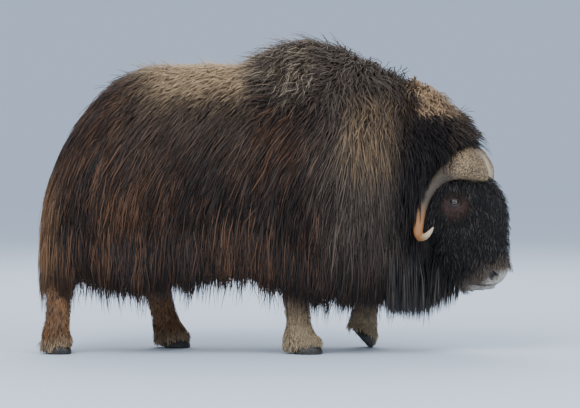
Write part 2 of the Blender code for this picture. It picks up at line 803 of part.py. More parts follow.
def nose_and_mouth(head):
    """Cuts the nostrils and the line of the mouth between its lips."""
    tree = BVHTree.FromObject(head, bpy.context.evaluated_depsgraph_get())
    near = [tree.find_nearest(Vector(p))[0] for p in MOUTH_LINE]
    whole = [side_of(p, True) for p in reversed(near)] + near[1:]
    lips = []
    for name, lift in (("upper", 0.012), ("lower", -0.012)):
        rings = []
        for i, p in enumerate(whole):
            end = i in (0, len(whole) - 1)
            out = (p - Vector((0.20, 0, p.z))).normalized()
            middle = p - out * 0.004 + Vector((0, 0, lift))
            deep, high = (0.004, 0.004) if end else (LIP_DEPTH, LIP_HEIGHT)
            rings.append([
                middle + out * math.cos(a) * deep + Vector((0, 0, 1)) * math.sin(a) * high
                for a in (math.tau * k / 8 for k in range(8))
            ])
        lips.append(add_mesh("lip_" + name, loft(rings), "face"))
    fuse(head, lips)
    rings = []
    for p in whole:
        inwards = (Vector((0.20, 0, p.z)) - p).normalized()
        outer, inner = p - inwards * 0.03, p + inwards * 0.016
        wide, narrow = Vector((0, 0, 0.0016)), Vector((0, 0, 0.0010))
        rings.append([outer + wide, outer - wide, inner - narrow, inner + narrow])
    carve(head, add_mesh("mouth_line", loft(rings), "face"))
    for left in (False, True):
        place = side_of(NOSTRIL_PLACE, left)
        out = Vector((0.62, place.y * 12, -0.25)).normalized()
        turn = out.to_track_quat("Z", "Y")
        tree = BVHTree.FromObject(head, bpy.context.evaluated_depsgraph_get())
        hit = tree.ray_cast(place + out * 0.2, -out)
        carve(head, ellipsoid("nostril", hit[0], NOSTRIL_RADII, turn=turn))


def head_cut():
    """A place on the cut between head and neck, and its way ahead, in the head's frame."""
    low, high = Vector((THROAT_CUT[0], 0, THROAT_CUT[1])), Vector((CROWN_CUT[0], 0, CROWN_CUT[1]))
    up = (high - low).normalized()
    return low, Vector((up.z, 0, -up.x))


def make_head(horns, ears):
    """The head with its lids, lips, nostrils, beard and crown tuft."""
    rng = random.Random(SEED + 1)
    head = head_core()
    core = add_copy(head)
    nose_and_mouth(head)
    for left in (False, True):
        eye_socket(head, left)
    fuse(head, head_locks(core, rng))
    bpy.data.objects.remove(core, do_unlink=True)
    low, ahead = head_cut()
    carve(head, half_space(low + ahead * GAP / 2, -ahead))
    place_head_part(head)
    clear_of(head, *horns, *ears)
    return head


def cut_neck_front(neck):
    """Parts the neck from the head along the head's own cut."""
    low, ahead = head_cut()
    ahead = Matrix.Rotation(HEAD_TURN, 3, "Z") @ ahead
    carve(neck, half_space(head_to_body(low) - ahead * GAP / 2, ahead))


def make_eye(left):
    """One eyeball."""
    name = "eye_left" if left else "eye_right"
    place = side_of(EYE_PLACE, left)
    radii = (EYE_RADIUS,) * 3
    return place_head_part(ellipsoid(name, place, radii, finish="eye", segments=EYE_SIDES, rings=EYE_RINGS))


def make_horn(left):
    """One horn: the broad boss on the forehead, then the shaft down, out and up."""
    rings = []
    places = [Vector(row[0]) for row in HORN_ROWS]
    flat = FOREHEAD_DOWN.copy()
    for i, (place, wide, thick) in enumerate(HORN_ROWS):
        place = Vector(place)
        along = places[min(i + 1, len(places) - 1)] - places[max(i - 1, 0)]
        along.normalize()
        flat = FOREHEAD_DOWN if i < BOSS_ROWS else flat
        flat = (flat - along * flat.dot(along)).normalized()
        up = flat.cross(along).normalized()
        ring = []
        for k in range(HORN_SIDES):
            a = math.tau * k / HORN_SIDES
            c, s = math.cos(a), math.sin(a)
            ring.append(place + flat * wide * math.copysign(abs(c) ** 0.85, c) + up * thick * s)
        rings.append([side_of(p, left) for p in ring])
    horn = add_mesh("horn_left" if left else "horn_right", loft(rings), "horn")
    return place_head_part(horn)


def make_ear(left):
    """One ear: a pointed leaf with a cup in its front."""
    root, tip = side_of(EAR_ROOT, left), side_of(EAR_TIP, left)
    along = (tip - root).normalized()
    front = Vector((0.75, 0, -0.25))
    front = (front - along * front.dot(along)).normalized()
    across = along.cross(front).normalized()
    length = (tip - root).length
    rings, cup = [], []
    for t, share in EAR_OUTLINE:
        middle = root + along * length * t
        half, thick = EAR_WIDTH / 2 * share, 0.010 + 0.008 * (1 - abs(t))
        rings.append([
            middle + across * half * math.cos(a) + front * thick * math.sin(a)
            for a in (math.tau * k / EAR_SIDES for k in range(EAR_SIDES))
        ])
    ear = add_mesh("ear_left" if left else "ear_right", loft(rings), "ear")
    middle = root + along * length * 0.50 + front * 0.016
    turn = Matrix((across, along, front)).transposed().to_quaternion()
    carve(ear, ellipsoid("cup", middle, (EAR_WIDTH * 0.33, length * 0.40, 0.016), turn=turn))
    return place_head_part(ear)


def claw_outline(length, width, inner, left):
    """One claw's outline on the floor, toe at +X, its straight side at the cleft."""
    points = []
    for k in range(9):
        a = math.pi * (k / 8)
        x = length / 2 * math.cos(a)
        y = width * math.sin(a) ** 0.75
        points.append(Vector((x, (inner + y) * (1 if left else -1), 0)))
    return points


def make_hooves(leg):
    """The two claws of a foot."""
    middle, length, width, tip = FEET[leg]
    claws = []
    for left in (False, True):
        outline = claw_outline(length, width / 2 - CLEFT / 2, CLEFT / 2, left)
        rings = []
        for height, size, back in CLAW_ROWS:
            ring = []
            for p in outline:
                y = (p.y - math.copysign(CLEFT / 2, p.y)) * size + math.copysign(CLEFT / 2, p.y)
                ring.append(Vector((p.x * size - back, y, height * (1 - 0.25 * (p.x < 0)))))
            rings.append(ring)
        name = f"hoof_{leg}_{'left' if left else 'right'}"
        claw = add_mesh(name, loft(rings), "hoof")
        pivot = Vector((length / 2, 0, 0))
        tipped = Matrix.Rotation(tip, 4, "Y")
        claw.data.transform(Matrix.Translation(pivot) @ tipped @ Matrix.Translation(-pivot))
        claw.data.transform(Matrix.Translation(middle))
        if tip:
            claw.data.transform(Matrix.Translation((0, 0, -0.006)))
            carve(claw, half_space(Vector((0, 0, 0)), Vector((0, 0, -1))))
        claws.append(claw)
    return claws


def make_leg(leg, trunk, hooves):
    """One leg, from the trunk down to the coronet, with its two dewclaws."""
    rows = LEG_ROWS[leg]
    middle, length, width, tip = FEET[leg]
    rings = []
    for i, (place, deep, wide) in enumerate(rows):
        place = Vector(place)
        nxt = Vector(rows[min(i + 1, len(rows) - 1)][0])
        prev = Vector(rows[max(i - 1, 0)][0])
        along = (nxt - prev).normalized()
        level = Vector((along.x, 0, along.z)).normalized().lerp(Vector((0, 0, -1)), 0.5).normalized()
        ahead = Vector((-level.z, 0, level.x))
        rings.append([
            place + ahead * deep * math.cos(a) + Vector((0, 1, 0)) * wide * math.sin(a)
            for a in (math.tau * k / LEG_SIDES for k in range(LEG_SIDES))
        ])
    turn = Matrix.Rotation(tip, 3, "Y")
    toe = middle + Vector((length / 2, 0, 0))
    for up, size in ((0.030, 0.90), (0.014, 0.80)):
        local = Vector((-length / 2 - 0.010, 0, up + 0.004))
        at = toe + turn @ local
        ahead, across = turn @ Vector((1, 0, 0)), Vector((0, 1, 0))
        rings.append([
            at + ahead * length * 0.56 * size * math.cos(a) + across * width * 0.47 * size * math.sin(a)
            for a in (math.tau * k / LEG_SIDES for k in range(LEG_SIDES))
        ])
    obj = add_mesh("leg_" + leg, loft(rings), "leg")
    dewclaws = []
    for side in (-1, 1):
        at = toe + turn @ Vector((-length * 0.98, side * width * 0.25, 0.052))
        dewclaws.append(ellipsoid("dewclaw", at, (0.020, 0.013, 0.017), segments=8, rings=6))
    fuse(obj, dewclaws)
    clear_of(obj, *hooves)
    seat_against(obj, *trunk)
    carve(obj, half_space(Vector((0, 0, 0.004)), Vector((0, 0, -1))))
    return obj


def make_tail():
    """The short tail, which leaves the rump and hangs among its locks."""
    rump = sorted((z, x) for x, z in BACK_LINE if x < TAIL_ROOT_X)
    rings = []
    for z, inwards, wide, thick in TAIL_ROWS:
        x = smooth_line(rump, z) + inwards
        rings.append([
            Vector((x - thick * math.sin(a), wide * math.cos(a), z))
            for a in (math.tau * k / TAIL_SIDES for k in range(TAIL_SIDES))
        ])
    return add_mesh("tail", loft(rings), "coat")


def main():
    clear_scene()
    torso, neck = make_trunk(make_tail())
    horns = [make_horn(left) for left in (False, True)]
    ears = [make_ear(left) for left in (False, True)]
    head = make_head(horns, ears)
    cut_neck_front(neck)
    clear_of(neck, *horns, *ears)
    for left in (False, True):
        make_eye(left)
    for leg in LEG_ROWS:
        make_leg(leg, (torso, neck), make_hooves(leg))
    for obj in bpy.data.objects:
        obj.data.transform(Matrix.Translation(SHIFT))
        obj.data.shade_smooth()
        obj.data.set_sharp_from_angle(angle=math.radians(40))


main()
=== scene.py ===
"""A bull muskox in its winter coat: the skin, the coat in thousands of tufts, horns, eyes and hooves."""

import logging
import math
from dataclasses import dataclass, field
from enum import Enum
from typing import Callable, ClassVar, Sequence

import bpy
import numpy as np
from mathutils import Matrix, Vector
from mathutils.bvhtree import BVHTree
from mathutils.kdtree import KDTree


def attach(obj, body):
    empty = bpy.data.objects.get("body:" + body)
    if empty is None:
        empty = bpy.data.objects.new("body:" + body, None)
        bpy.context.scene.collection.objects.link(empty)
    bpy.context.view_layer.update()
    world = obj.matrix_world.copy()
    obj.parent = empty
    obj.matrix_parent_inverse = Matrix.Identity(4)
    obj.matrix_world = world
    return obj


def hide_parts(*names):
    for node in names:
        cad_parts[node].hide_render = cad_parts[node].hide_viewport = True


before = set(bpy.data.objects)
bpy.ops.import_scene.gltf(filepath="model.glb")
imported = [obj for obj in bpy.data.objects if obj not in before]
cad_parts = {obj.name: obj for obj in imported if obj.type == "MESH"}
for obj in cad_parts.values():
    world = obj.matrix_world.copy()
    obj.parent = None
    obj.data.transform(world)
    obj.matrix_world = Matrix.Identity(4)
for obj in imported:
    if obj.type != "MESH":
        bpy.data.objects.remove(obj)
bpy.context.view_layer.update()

LOG = logging.getLogger("muskox")

Array = np.ndarray
Line = tuple[tuple[float, float], ...]
Colour = tuple[float, float, float]

SHIFT_X = 0.004
HUMP_HEIGHT = 1.405
BACK_HEIGHT = 1.29
RUMP_X = -1.05
MANE_X = 0.36
WIDEST_HEIGHT = 0.80
SKIRT_TUCK = 0.12
GUIDE_DROP = 0.14
LOWEST_HAIR = 0.006
BAKE_PATCH = 0.003
HEAD_PIVOT = np.array([0.72 + SHIFT_X, 0.0, 0.0])
HEAD_TURN = math.radians(-20)
EYE_PLACE = np.array([0.136, -0.119, 0.672])
EYE_GAZE = np.array([0.33, -0.94, 0.02])
EYE_RADIUS = 0.0215
LIDS_MIDDLE = EYE_PLACE * (1, -1, 1) + (0.002, 0, -0.006)
NOSTRIL_MIDDLE = np.array([0.303, 0.062, 0.342])
BEARD_TIP = 0.165


def curve(points: Line, at: Array) -> Array:
    """Reads a smooth line that never overshoots its points.

    Args:
        points: Pairs of place and height, in rising order of place.
        at: The places to read.

    Returns:
        The height at each place.
    """
    xs, zs = (np.array(column, float) for column in zip(*points))
    slopes = np.diff(zs) / np.diff(xs)
    before, after = slopes[:-1], slopes[1:]
    product = before * after
    inner = np.where(product > 0, 2 * product / np.where(before + after == 0, 1, before + after), 0.0)
    tangents = np.concatenate([slopes[:1], inner, slopes[-1:]])
    at = np.clip(at, xs[0], xs[-1])
    i = np.clip(np.searchsorted(xs, at, side="right") - 1, 0, len(slopes) - 1)
    span = xs[i + 1] - xs[i]
    t = (at - xs[i]) / span
    start = zs[i] * (1 + 2 * t) * (1 - t) ** 2 + zs[i + 1] * t * t * (3 - 2 * t)
    return start + span * t * (1 - t) * (tangents[i] * (1 - t) - tangents[i + 1] * t)


def read_rows(table: Array, at: Array) -> Array:
    """Reads each column of a table as a smooth line.

    Args:
        table: One row for each whole step.
        at: The steps to read, whole or not.

    Returns:
        One row for each step read.
    """
    steps = range(len(table))
    return np.stack([curve(tuple(zip(steps, column)), at) for column in table.T], axis=1)


def ease(value: Array | float, low: float, high: float) -> Array:
    """0 below low, 1 above high, and smooth between them."""
    t = np.clip((np.asarray(value, float) - low) / (high - low), 0.0, 1.0)
    return t * t * (3 - 2 * t)


def unit(vectors: Array) -> Array:
    """The vectors at length one."""
    return vectors / np.maximum(np.linalg.norm(vectors, axis=-1, keepdims=True), 1e-9)


def drift(points: Array, scale: float, seed: int) -> Array:
    """Smooth noise in space, from -1 to 1.

    Args:
        points: Places, one in each row.
        scale: Cells for each metre.
        seed: Which noise.

    Returns:
        One number for each place.
    """
    grid = points * scale + seed * 17.31
    cell = np.floor(grid).astype(np.int64)
    part = grid - cell
    part = part * part * (3 - 2 * part)
    total = np.zeros(len(points))
    for corner in range(8):
        step = np.array([corner & 1, corner >> 1 & 1, corner >> 2 & 1])
        key = (cell + step) @ np.array([73856093, 19349663, 83492791]) + seed * 2654435761
        key = (key ^ (key >> 13)) * 1274126177
        value = ((key ^ (key >> 16)) & 0xFFFF) / 65535.0
        weight = np.prod(np.where(step, part, 1 - part), axis=1)
        total += weight * value
    return total * 2 - 1


def turned_with_head(points: Array) -> Array:
    """From the head's own frame to the animal's."""
    c, s = math.cos(HEAD_TURN), math.sin(HEAD_TURN)
    return HEAD_PIVOT + points @ np.array([[c, s, 0], [-s, c, 0], [0, 0, 1]])


def seen_from_head(points: Array) -> Array:
    """From the animal's frame to the head's own."""
    c, s = math.cos(HEAD_TURN), math.sin(HEAD_TURN)
    return (points - HEAD_PIVOT) @ np.array([[c, -s, 0], [s, c, 0], [0, 0, 1]])


def eye_gap(own: Array) -> Array:
    """How far each place in the head's own frame is from the nearer eye."""
    return np.minimum(np.linalg.norm(own - EYE_PLACE, axis=1),
                      np.linalg.norm(own - EYE_PLACE * (1, -1, 1), axis=1))


def between_caps(u: Array, cap: float) -> Array:
    """The share along a tube between the caps that close its two ends."""
    return np.clip((u - cap) / (1 - 2 * cap), 0, 1)


def closing(u: Array, cap: float) -> Array:
    """1 along a tube, falling to 0 over a cap at each end."""
    return np.minimum(np.minimum(u, 1 - u) / cap, 1.0)


class Side(Enum):
    """The animal's right or left."""

    RIGHT = -1
    LEFT = 1

    @property
    def flip(self) -> Array:
        """What turns a place on the right into the same place on this side."""
        return np.array([1, -self.value, 1])


class Zone(Enum):
    """What hair grows on, as its shares of head, leg and bare skin."""

    TRUNK = (0.0, 0.0, 0.0)
    HEAD = (1.0, 0.0, 0.0)
    LEG = (0.0, 1.0, 0.0)


def deselect() -> None:
    """Leaves object mode with nothing selected."""
    if bpy.context.object and bpy.context.object.mode != "OBJECT":
        bpy.ops.object.mode_set(mode="OBJECT")
    bpy.ops.object.select_all(action="DESELECT")


def pick(*objects: bpy.types.Object) -> None:
    """Selects these objects alone.

    Args:
        *objects: The objects, the one to make active first.
    """
    deselect()
    for obj in objects:
        obj.select_set(True)
    bpy.context.view_layer.objects.active = objects[0]


def points_of(obj: bpy.types.Object) -> Array:
    """Reads an object's vertices.

    Args:
        obj: A mesh object.

    Returns:
        One place in each row.
    """
    flat = np.empty(len(obj.data.vertices) * 3, np.float32)
    obj.data.vertices.foreach_get("co", flat)
    return flat.reshape(-1, 3).astype(float)


def set_points(obj: bpy.types.Object, points: Array) -> None:
    """Moves the object's vertices to these rows."""
    obj.data.vertices.foreach_set("co", points.astype(np.float32).ravel())
    obj.data.update()


def normals_of(obj: bpy.types.Object) -> Array:
    """Reads an object's vertex normals.

    Args:
        obj: A mesh object.

    Returns:
        One normal in each row.
    """
    flat = np.empty(len(obj.data.vertices) * 3, np.float32)
    obj.data.vertex_normals.foreach_get("vector", flat)
    return flat.reshape(-1, 3).astype(float)


def tube(name: str, shape: Callable[[Array, Array], Array], rows: int, sides: int) -> bpy.types.Object:
    """Rolls a grid into a closed skin.

    Args:
        name: The object's name.
        shape: Gives the places for shares along and shares around, with one place for each end.
        rows: Cells along it.
        sides: Cells round it.

    Returns:
        The closed object, its faces outwards.
    """
    deselect()
    bpy.ops.mesh.primitive_grid_add(x_subdivisions=rows, y_subdivisions=sides, size=1.0)
    obj = bpy.context.object
    obj.name = name
    flat = points_of(obj) + 0.5
    set_points(obj, shape(flat[:, 0], flat[:, 1] % 1.0))
    bpy.ops.object.mode_set(mode="EDIT")
    bpy.ops.mesh.select_all(action="SELECT")
    bpy.ops.mesh.remove_doubles(threshold=1e-5)
    bpy.ops.mesh.normals_make_consistent(inside=False)
    bpy.ops.object.mode_set(mode="OBJECT")
    return obj


def ball(name: str, middle: Sequence[float], radii: Sequence[float], turn: Matrix | None = None,
         segments: int = 24, rings: int = 16) -> bpy.types.Object:
    """Adds a stretched ball, its place in its mesh.

    Args:
        name: The object's name.
        middle: Its middle.
        radii: Its radius along each axis, before it is turned.
        turn: How it is turned, if at all.
        segments: Cells round it.
        rings: Cells from pole to pole.

    Returns:
        The ball.
    """
    deselect()
    bpy.ops.mesh.primitive_uv_sphere_add(segments=segments, ring_count=rings, radius=1.0)
    obj = bpy.context.object
    obj.name = name
    turn = turn.to_4x4() if turn else Matrix.Identity(4)
    obj.data.transform(Matrix.Translation(middle) @ turn @ Matrix.Diagonal((*radii, 1.0)))
    return obj


def finish_modifier(obj: bpy.types.Object, kind: str, **settings: object) -> None:
    """Adds one modifier and applies it.

    Args:
        obj: The object that it changes.
        kind: The modifier's type.
        **settings: Its settings.
    """
    pick(obj)
    modifier = obj.modifiers.new(kind.lower(), kind)
    for key, value in settings.items():
        setattr(modifier, key, value)
    bpy.ops.object.modifier_apply(modifier=modifier.name)


def fused(first: bpy.types.Object, others: Sequence[bpy.types.Object], voxel: float, smooth: int) -> None:
    """Joins overlapping closed masses into one smooth skin.

    Args:
        first: The mass that becomes the skin.
        others: The masses that it takes in.
        voxel: The new mesh's cell.
        smooth: Rounds of smoothing.
    """
    pick(first, *others)
    bpy.ops.object.join()
    finish_modifier(first, "REMESH", mode="VOXEL", voxel_size=voxel)
    finish_modifier(first, "SMOOTH", factor=0.5, iterations=smooth)


def combine(obj: bpy.types.Object, other: bpy.types.Object, operation: str) -> None:
    """Unites a closed mass with another, or cuts it out, and removes it."""
    finish_modifier(obj, "BOOLEAN", operation=operation, object=other, solver="MANIFOLD")
    bpy.data.objects.remove(other, do_unlink=True)


def store(obj: bpy.types.Object, name: str, rows: Array) -> None:
    """Writes one vector for each vertex under that name."""
    attribute = obj.data.attributes.new(name, "FLOAT_VECTOR", "POINT")
    attribute.data.foreach_set("vector", rows.astype(np.float32).ravel())


class Surface:
    """A mesh as arrays, for sampling places on it and finding the nearest ones."""

    def __init__(self, obj: bpy.types.Object) -> None:
        """Reads the object's triangles.

        Args:
            obj: A mesh object.
        """
        obj.data.calc_loop_triangles()
        corners = np.empty(len(obj.data.loop_triangles) * 3, np.int32)
        obj.data.loop_triangles.foreach_get("vertices", corners)
        self.points = points_of(obj)
        self.corners = corners.reshape(-1, 3)
        self.vertex_normals = normals_of(obj)
        edge_a = self.points[self.corners[:, 1]] - self.points[self.corners[:, 0]]
        edge_b = self.points[self.corners[:, 2]] - self.points[self.corners[:, 0]]
        self.areas = np.linalg.norm(np.cross(edge_a, edge_b), axis=1) / 2
        self.tree = BVHTree.FromPolygons(self.points.tolist(), self.corners.tolist())

    def at(self, face: Array, share: Array) -> tuple[Array, Array]:
        """Reads places on faces.

        Args:
            face: The face of each place.
            share: The share of each of its three corners.

        Returns:
            Places and smooth normals.
        """
        place = np.einsum("nk,nkd->nd", share, self.points[self.corners[face]])
        normal = np.einsum("nk,nkd->nd", share, self.vertex_normals[self.corners[face]])
        return place, unit(normal)

    def sample(self, count: int, rng: np.random.Generator,
               weight: Callable[[Array], Array]) -> tuple[Array, Array]:
        """Spreads places over the surface.

        Args:
            count: How many places.
            rng: The draw.
            weight: How dense they are at given places, 0 for none.

        Returns:
            Places and normals.
        """
        middle = self.points[self.corners].mean(axis=1)
        total = np.cumsum(self.areas * np.maximum(weight(middle), 0.0))
        marks = (np.arange(count) + rng.random(count)) / count * total[-1]
        face = np.minimum(np.searchsorted(total, marks), len(total) - 1)
        u, v = np.sqrt(rng.random(count)), rng.random(count)
        share = np.stack([1 - u, u * (1 - v), u * v], axis=1)
        return self.at(face, share)

    def shares(self, points: Array) -> tuple[Array, Array]:
        """Finds the nearest places on the surface.

        Args:
            points: Places, one in each row.

        Returns:
            The nearest face to each, and the shares of its corners there.
        """
        face = np.empty(len(points), np.int64)
        near = np.empty((len(points), 3))
        for i, point in enumerate(points.tolist()):
            hit = self.tree.find_nearest(point)
            face[i] = hit[2]
            near[i] = hit[0]
        a, b, c = (self.points[self.corners[face, k]] for k in range(3))
        v0, v1, v2 = b - a, c - a, near - a
        d00, d01, d11 = (v0 * v0).sum(1), (v0 * v1).sum(1), (v1 * v1).sum(1)
        d20, d21 = (v2 * v0).sum(1), (v2 * v1).sum(1)
        scale = np.maximum(d00 * d11 - d01 * d01, 1e-18)
        v, w = (d11 * d20 - d01 * d21) / scale, (d00 * d21 - d01 * d20) / scale
        return face, np.clip(np.stack([1 - v - w, v, w], axis=1), 0.0, 1.0)

    def nearest(self, points: Array) -> tuple[Array, Array]:
        """The nearest places on the surface, with their smooth normals."""
        return self.at(*self.shares(points))


class Wire:
    """A value in a shader that takes part in plain arithmetic."""

    def __init__(self, tree: "Shader", socket: bpy.types.NodeSocket) -> None:
        """Wraps one output socket."""
        self.tree = tree
        self.socket = socket

    def _with(self, operation: str, other: "Wire | float", swap: bool = False) -> "Wire":
        """Adds one Math node."""
        values = [other, self] if swap else [self, other]
        return self.tree.add("ShaderNodeMath", {"operation": operation}, dict(enumerate(values)))

    def __add__(self, other: "Wire | float") -> "Wire":
        """Sum."""
        return self._with("ADD", other)

    def __sub__(self, other: "Wire | float") -> "Wire":
        """Difference."""
        return self._with("SUBTRACT", other)

    def __rsub__(self, other: float) -> "Wire":
        """Difference from a number."""
        return self._with("SUBTRACT", other, swap=True)

    def __mul__(self, other: "Wire | float") -> "Wire":
        """Product."""
        return self._with("MULTIPLY", other)

    __radd__ = __add__
    __rmul__ = __mul__

    def __pow__(self, other: float) -> "Wire":
        """Power."""
        return self._with("POWER", other)

    def larger(self, other: "Wire | float") -> "Wire":
        """The larger of two values."""
        return self._with("MAXIMUM", other)

    def away(self) -> "Wire":
        """The value without its sign."""
        return self._with("ABSOLUTE", 0.0)

    def ease(self, low: float, high: float) -> "Wire":
        """A smooth step.

        Args:
            low: Where it is 0, which may be the larger of the two.
            high: Where it is 1.

        Returns:
            The step.
        """
        start, end = (low, high) if low < high else (high, low)
        values = {"Value": self, "From Min": start, "From Max": end}
        ramp = self.tree.add("ShaderNodeMapRange", {"interpolation_type": "SMOOTHSTEP"}, values)
        return ramp if low < high else 1.0 - ramp


class Shader:
    """One material's nodes."""

    def __init__(self, name: str, **constants: float) -> None:
        """Starts a material.

        Args:
            name: The material's name.
            **constants: Socket values of the main shader, with _ for a space.
        """
        self.material = bpy.data.materials.new(name)
        self.material.use_nodes = True
        self.nodes = self.material.node_tree.nodes
        self.links = self.material.node_tree.links
        self.main = self.nodes["Principled BSDF"]
        for key, value in constants.items():
            self.main.inputs[key.replace("_", " ")].default_value = value

    def add(self, kind: str, settings: dict, values: dict, output: int | str = 0) -> Wire:
        """Adds a node.

        Args:
            kind: The node's type.
            settings: Its properties, set first.
            values: Its sockets' values or wires.
            output: Which output to give back.

        Returns:
            That output.
        """
        node = self.nodes.new(kind)
        for key, value in settings.items():
            setattr(node, key, value)
        for key, value in values.items():
            if isinstance(value, Wire):
                self.links.new(value.socket, node.inputs[key])
            else:
                node.inputs[key].default_value = value
        return Wire(self, node.outputs[output])

    def attribute(self, name: str) -> Wire:
        """A vector stored on the mesh."""
        return self.add("ShaderNodeAttribute", {"attribute_name": name}, {}, "Vector")

    def parts(self, vector: Wire) -> tuple[Wire, Wire, Wire]:
        """A vector's three numbers."""
        outputs = self.add("ShaderNodeSeparateXYZ", {}, {0: vector}).socket.node.outputs
        return Wire(self, outputs[0]), Wire(self, outputs[1]), Wire(self, outputs[2])

    def stretched(self, vector: Wire, scale: Colour) -> Wire:
        """A vector times three numbers."""
        return self.add("ShaderNodeVectorMath", {"operation": "MULTIPLY"}, {0: vector, 1: scale})

    def noise(self, vector: Wire, scale: float, detail: float = 2.0, roughness: float = 0.5) -> Wire:
        """Smooth noise from 0 to 1."""
        values = {"Vector": vector, "Scale": scale, "Detail": detail, "Roughness": roughness}
        return self.add("ShaderNodeTexNoise", {}, values)

    def mix(self, share: Wire | float, a: "Wire | Colour", b: "Wire | Colour") -> Wire:
        """From colour a to colour b by share."""
        ends = {6 + i: end if isinstance(end, Wire) else (*end, 1.0) for i, end in enumerate((a, b))}
        return self.add("ShaderNodeMix", {"data_type": "RGBA"}, {0: share, **ends}, 2)

    def bump(self, height: Wire, strength: float, distance: float) -> None:
        """Raises the surface's shading by height."""
        values = {"Height": height, "Strength": strength, "Distance": distance}
        self.set("Normal", self.add("ShaderNodeBump", {}, values))

    def set(self, name: str, value: Wire) -> None:
        """Links a value to the main shader."""
        self.links.new(value.socket, self.main.inputs[name])


@dataclass(frozen=True)
class Spot:
    """What the markings read at a place on a hair or on the skin.

    x and z say where the hair grows, and ahead and aside say it in the head's own frame. draw is
    the hair's own random number and along the share of its length. patch, clump and fine are noises,
    ragged frays the markings' borders and soft frays them hair by hair.
    """

    shader: Shader
    x: Wire
    z: Wire
    ahead: Wire
    aside: Wire
    draw: Wire
    along: Wire
    patch: Wire
    clump: Wire
    fine: Wire
    ragged: Wire
    soft: Wire

    @classmethod
    def read(cls, shader: Shader) -> "Spot":
        """Adds the nodes that read a place.

        Args:
            shader: The material's nodes.

        Returns:
            The values.
        """
        root = shader.attribute("root")
        x, y, z = shader.parts(root)
        draw, along, _ = shader.parts(shader.attribute("strand"))
        c, s = math.cos(HEAD_TURN), math.sin(HEAD_TURN)
        from_pivot = x - float(HEAD_PIVOT[0])
        patch = shader.noise(root, 3.2, 3.0)
        clump = shader.noise(shader.stretched(root, (1.0, 1.0, 0.45)), 38.0, 2.0, 0.6)
        fine = shader.noise(shader.stretched(root, (1.0, 1.0, 0.6)), 160.0, 1.0)
        ragged = (patch - 0.5) * 0.16 + (clump - 0.5) * 0.10
        soft = ragged * 0.5 + (draw - 0.5) * 0.09
        return cls(shader, x, z, from_pivot * c + y * s, y * c - from_pivot * s, draw, along, patch, clump,
                   fine, ragged, soft)

    def near_eye(self, reach: float) -> Wire:
        """How near the place is to the lids.

        Args:
            reach: How far from their middle it ends.

        Returns:
            1 at their middle, fading to 0.
        """
        pairs = zip((self.ahead, self.aside.away(), self.z), LIDS_MIDDLE)
        ahead, aside, up = ((axis - float(at)) ** 2.0 for axis, at in pairs)
        return (ahead + aside + up).ease(reach * reach, 0.0)


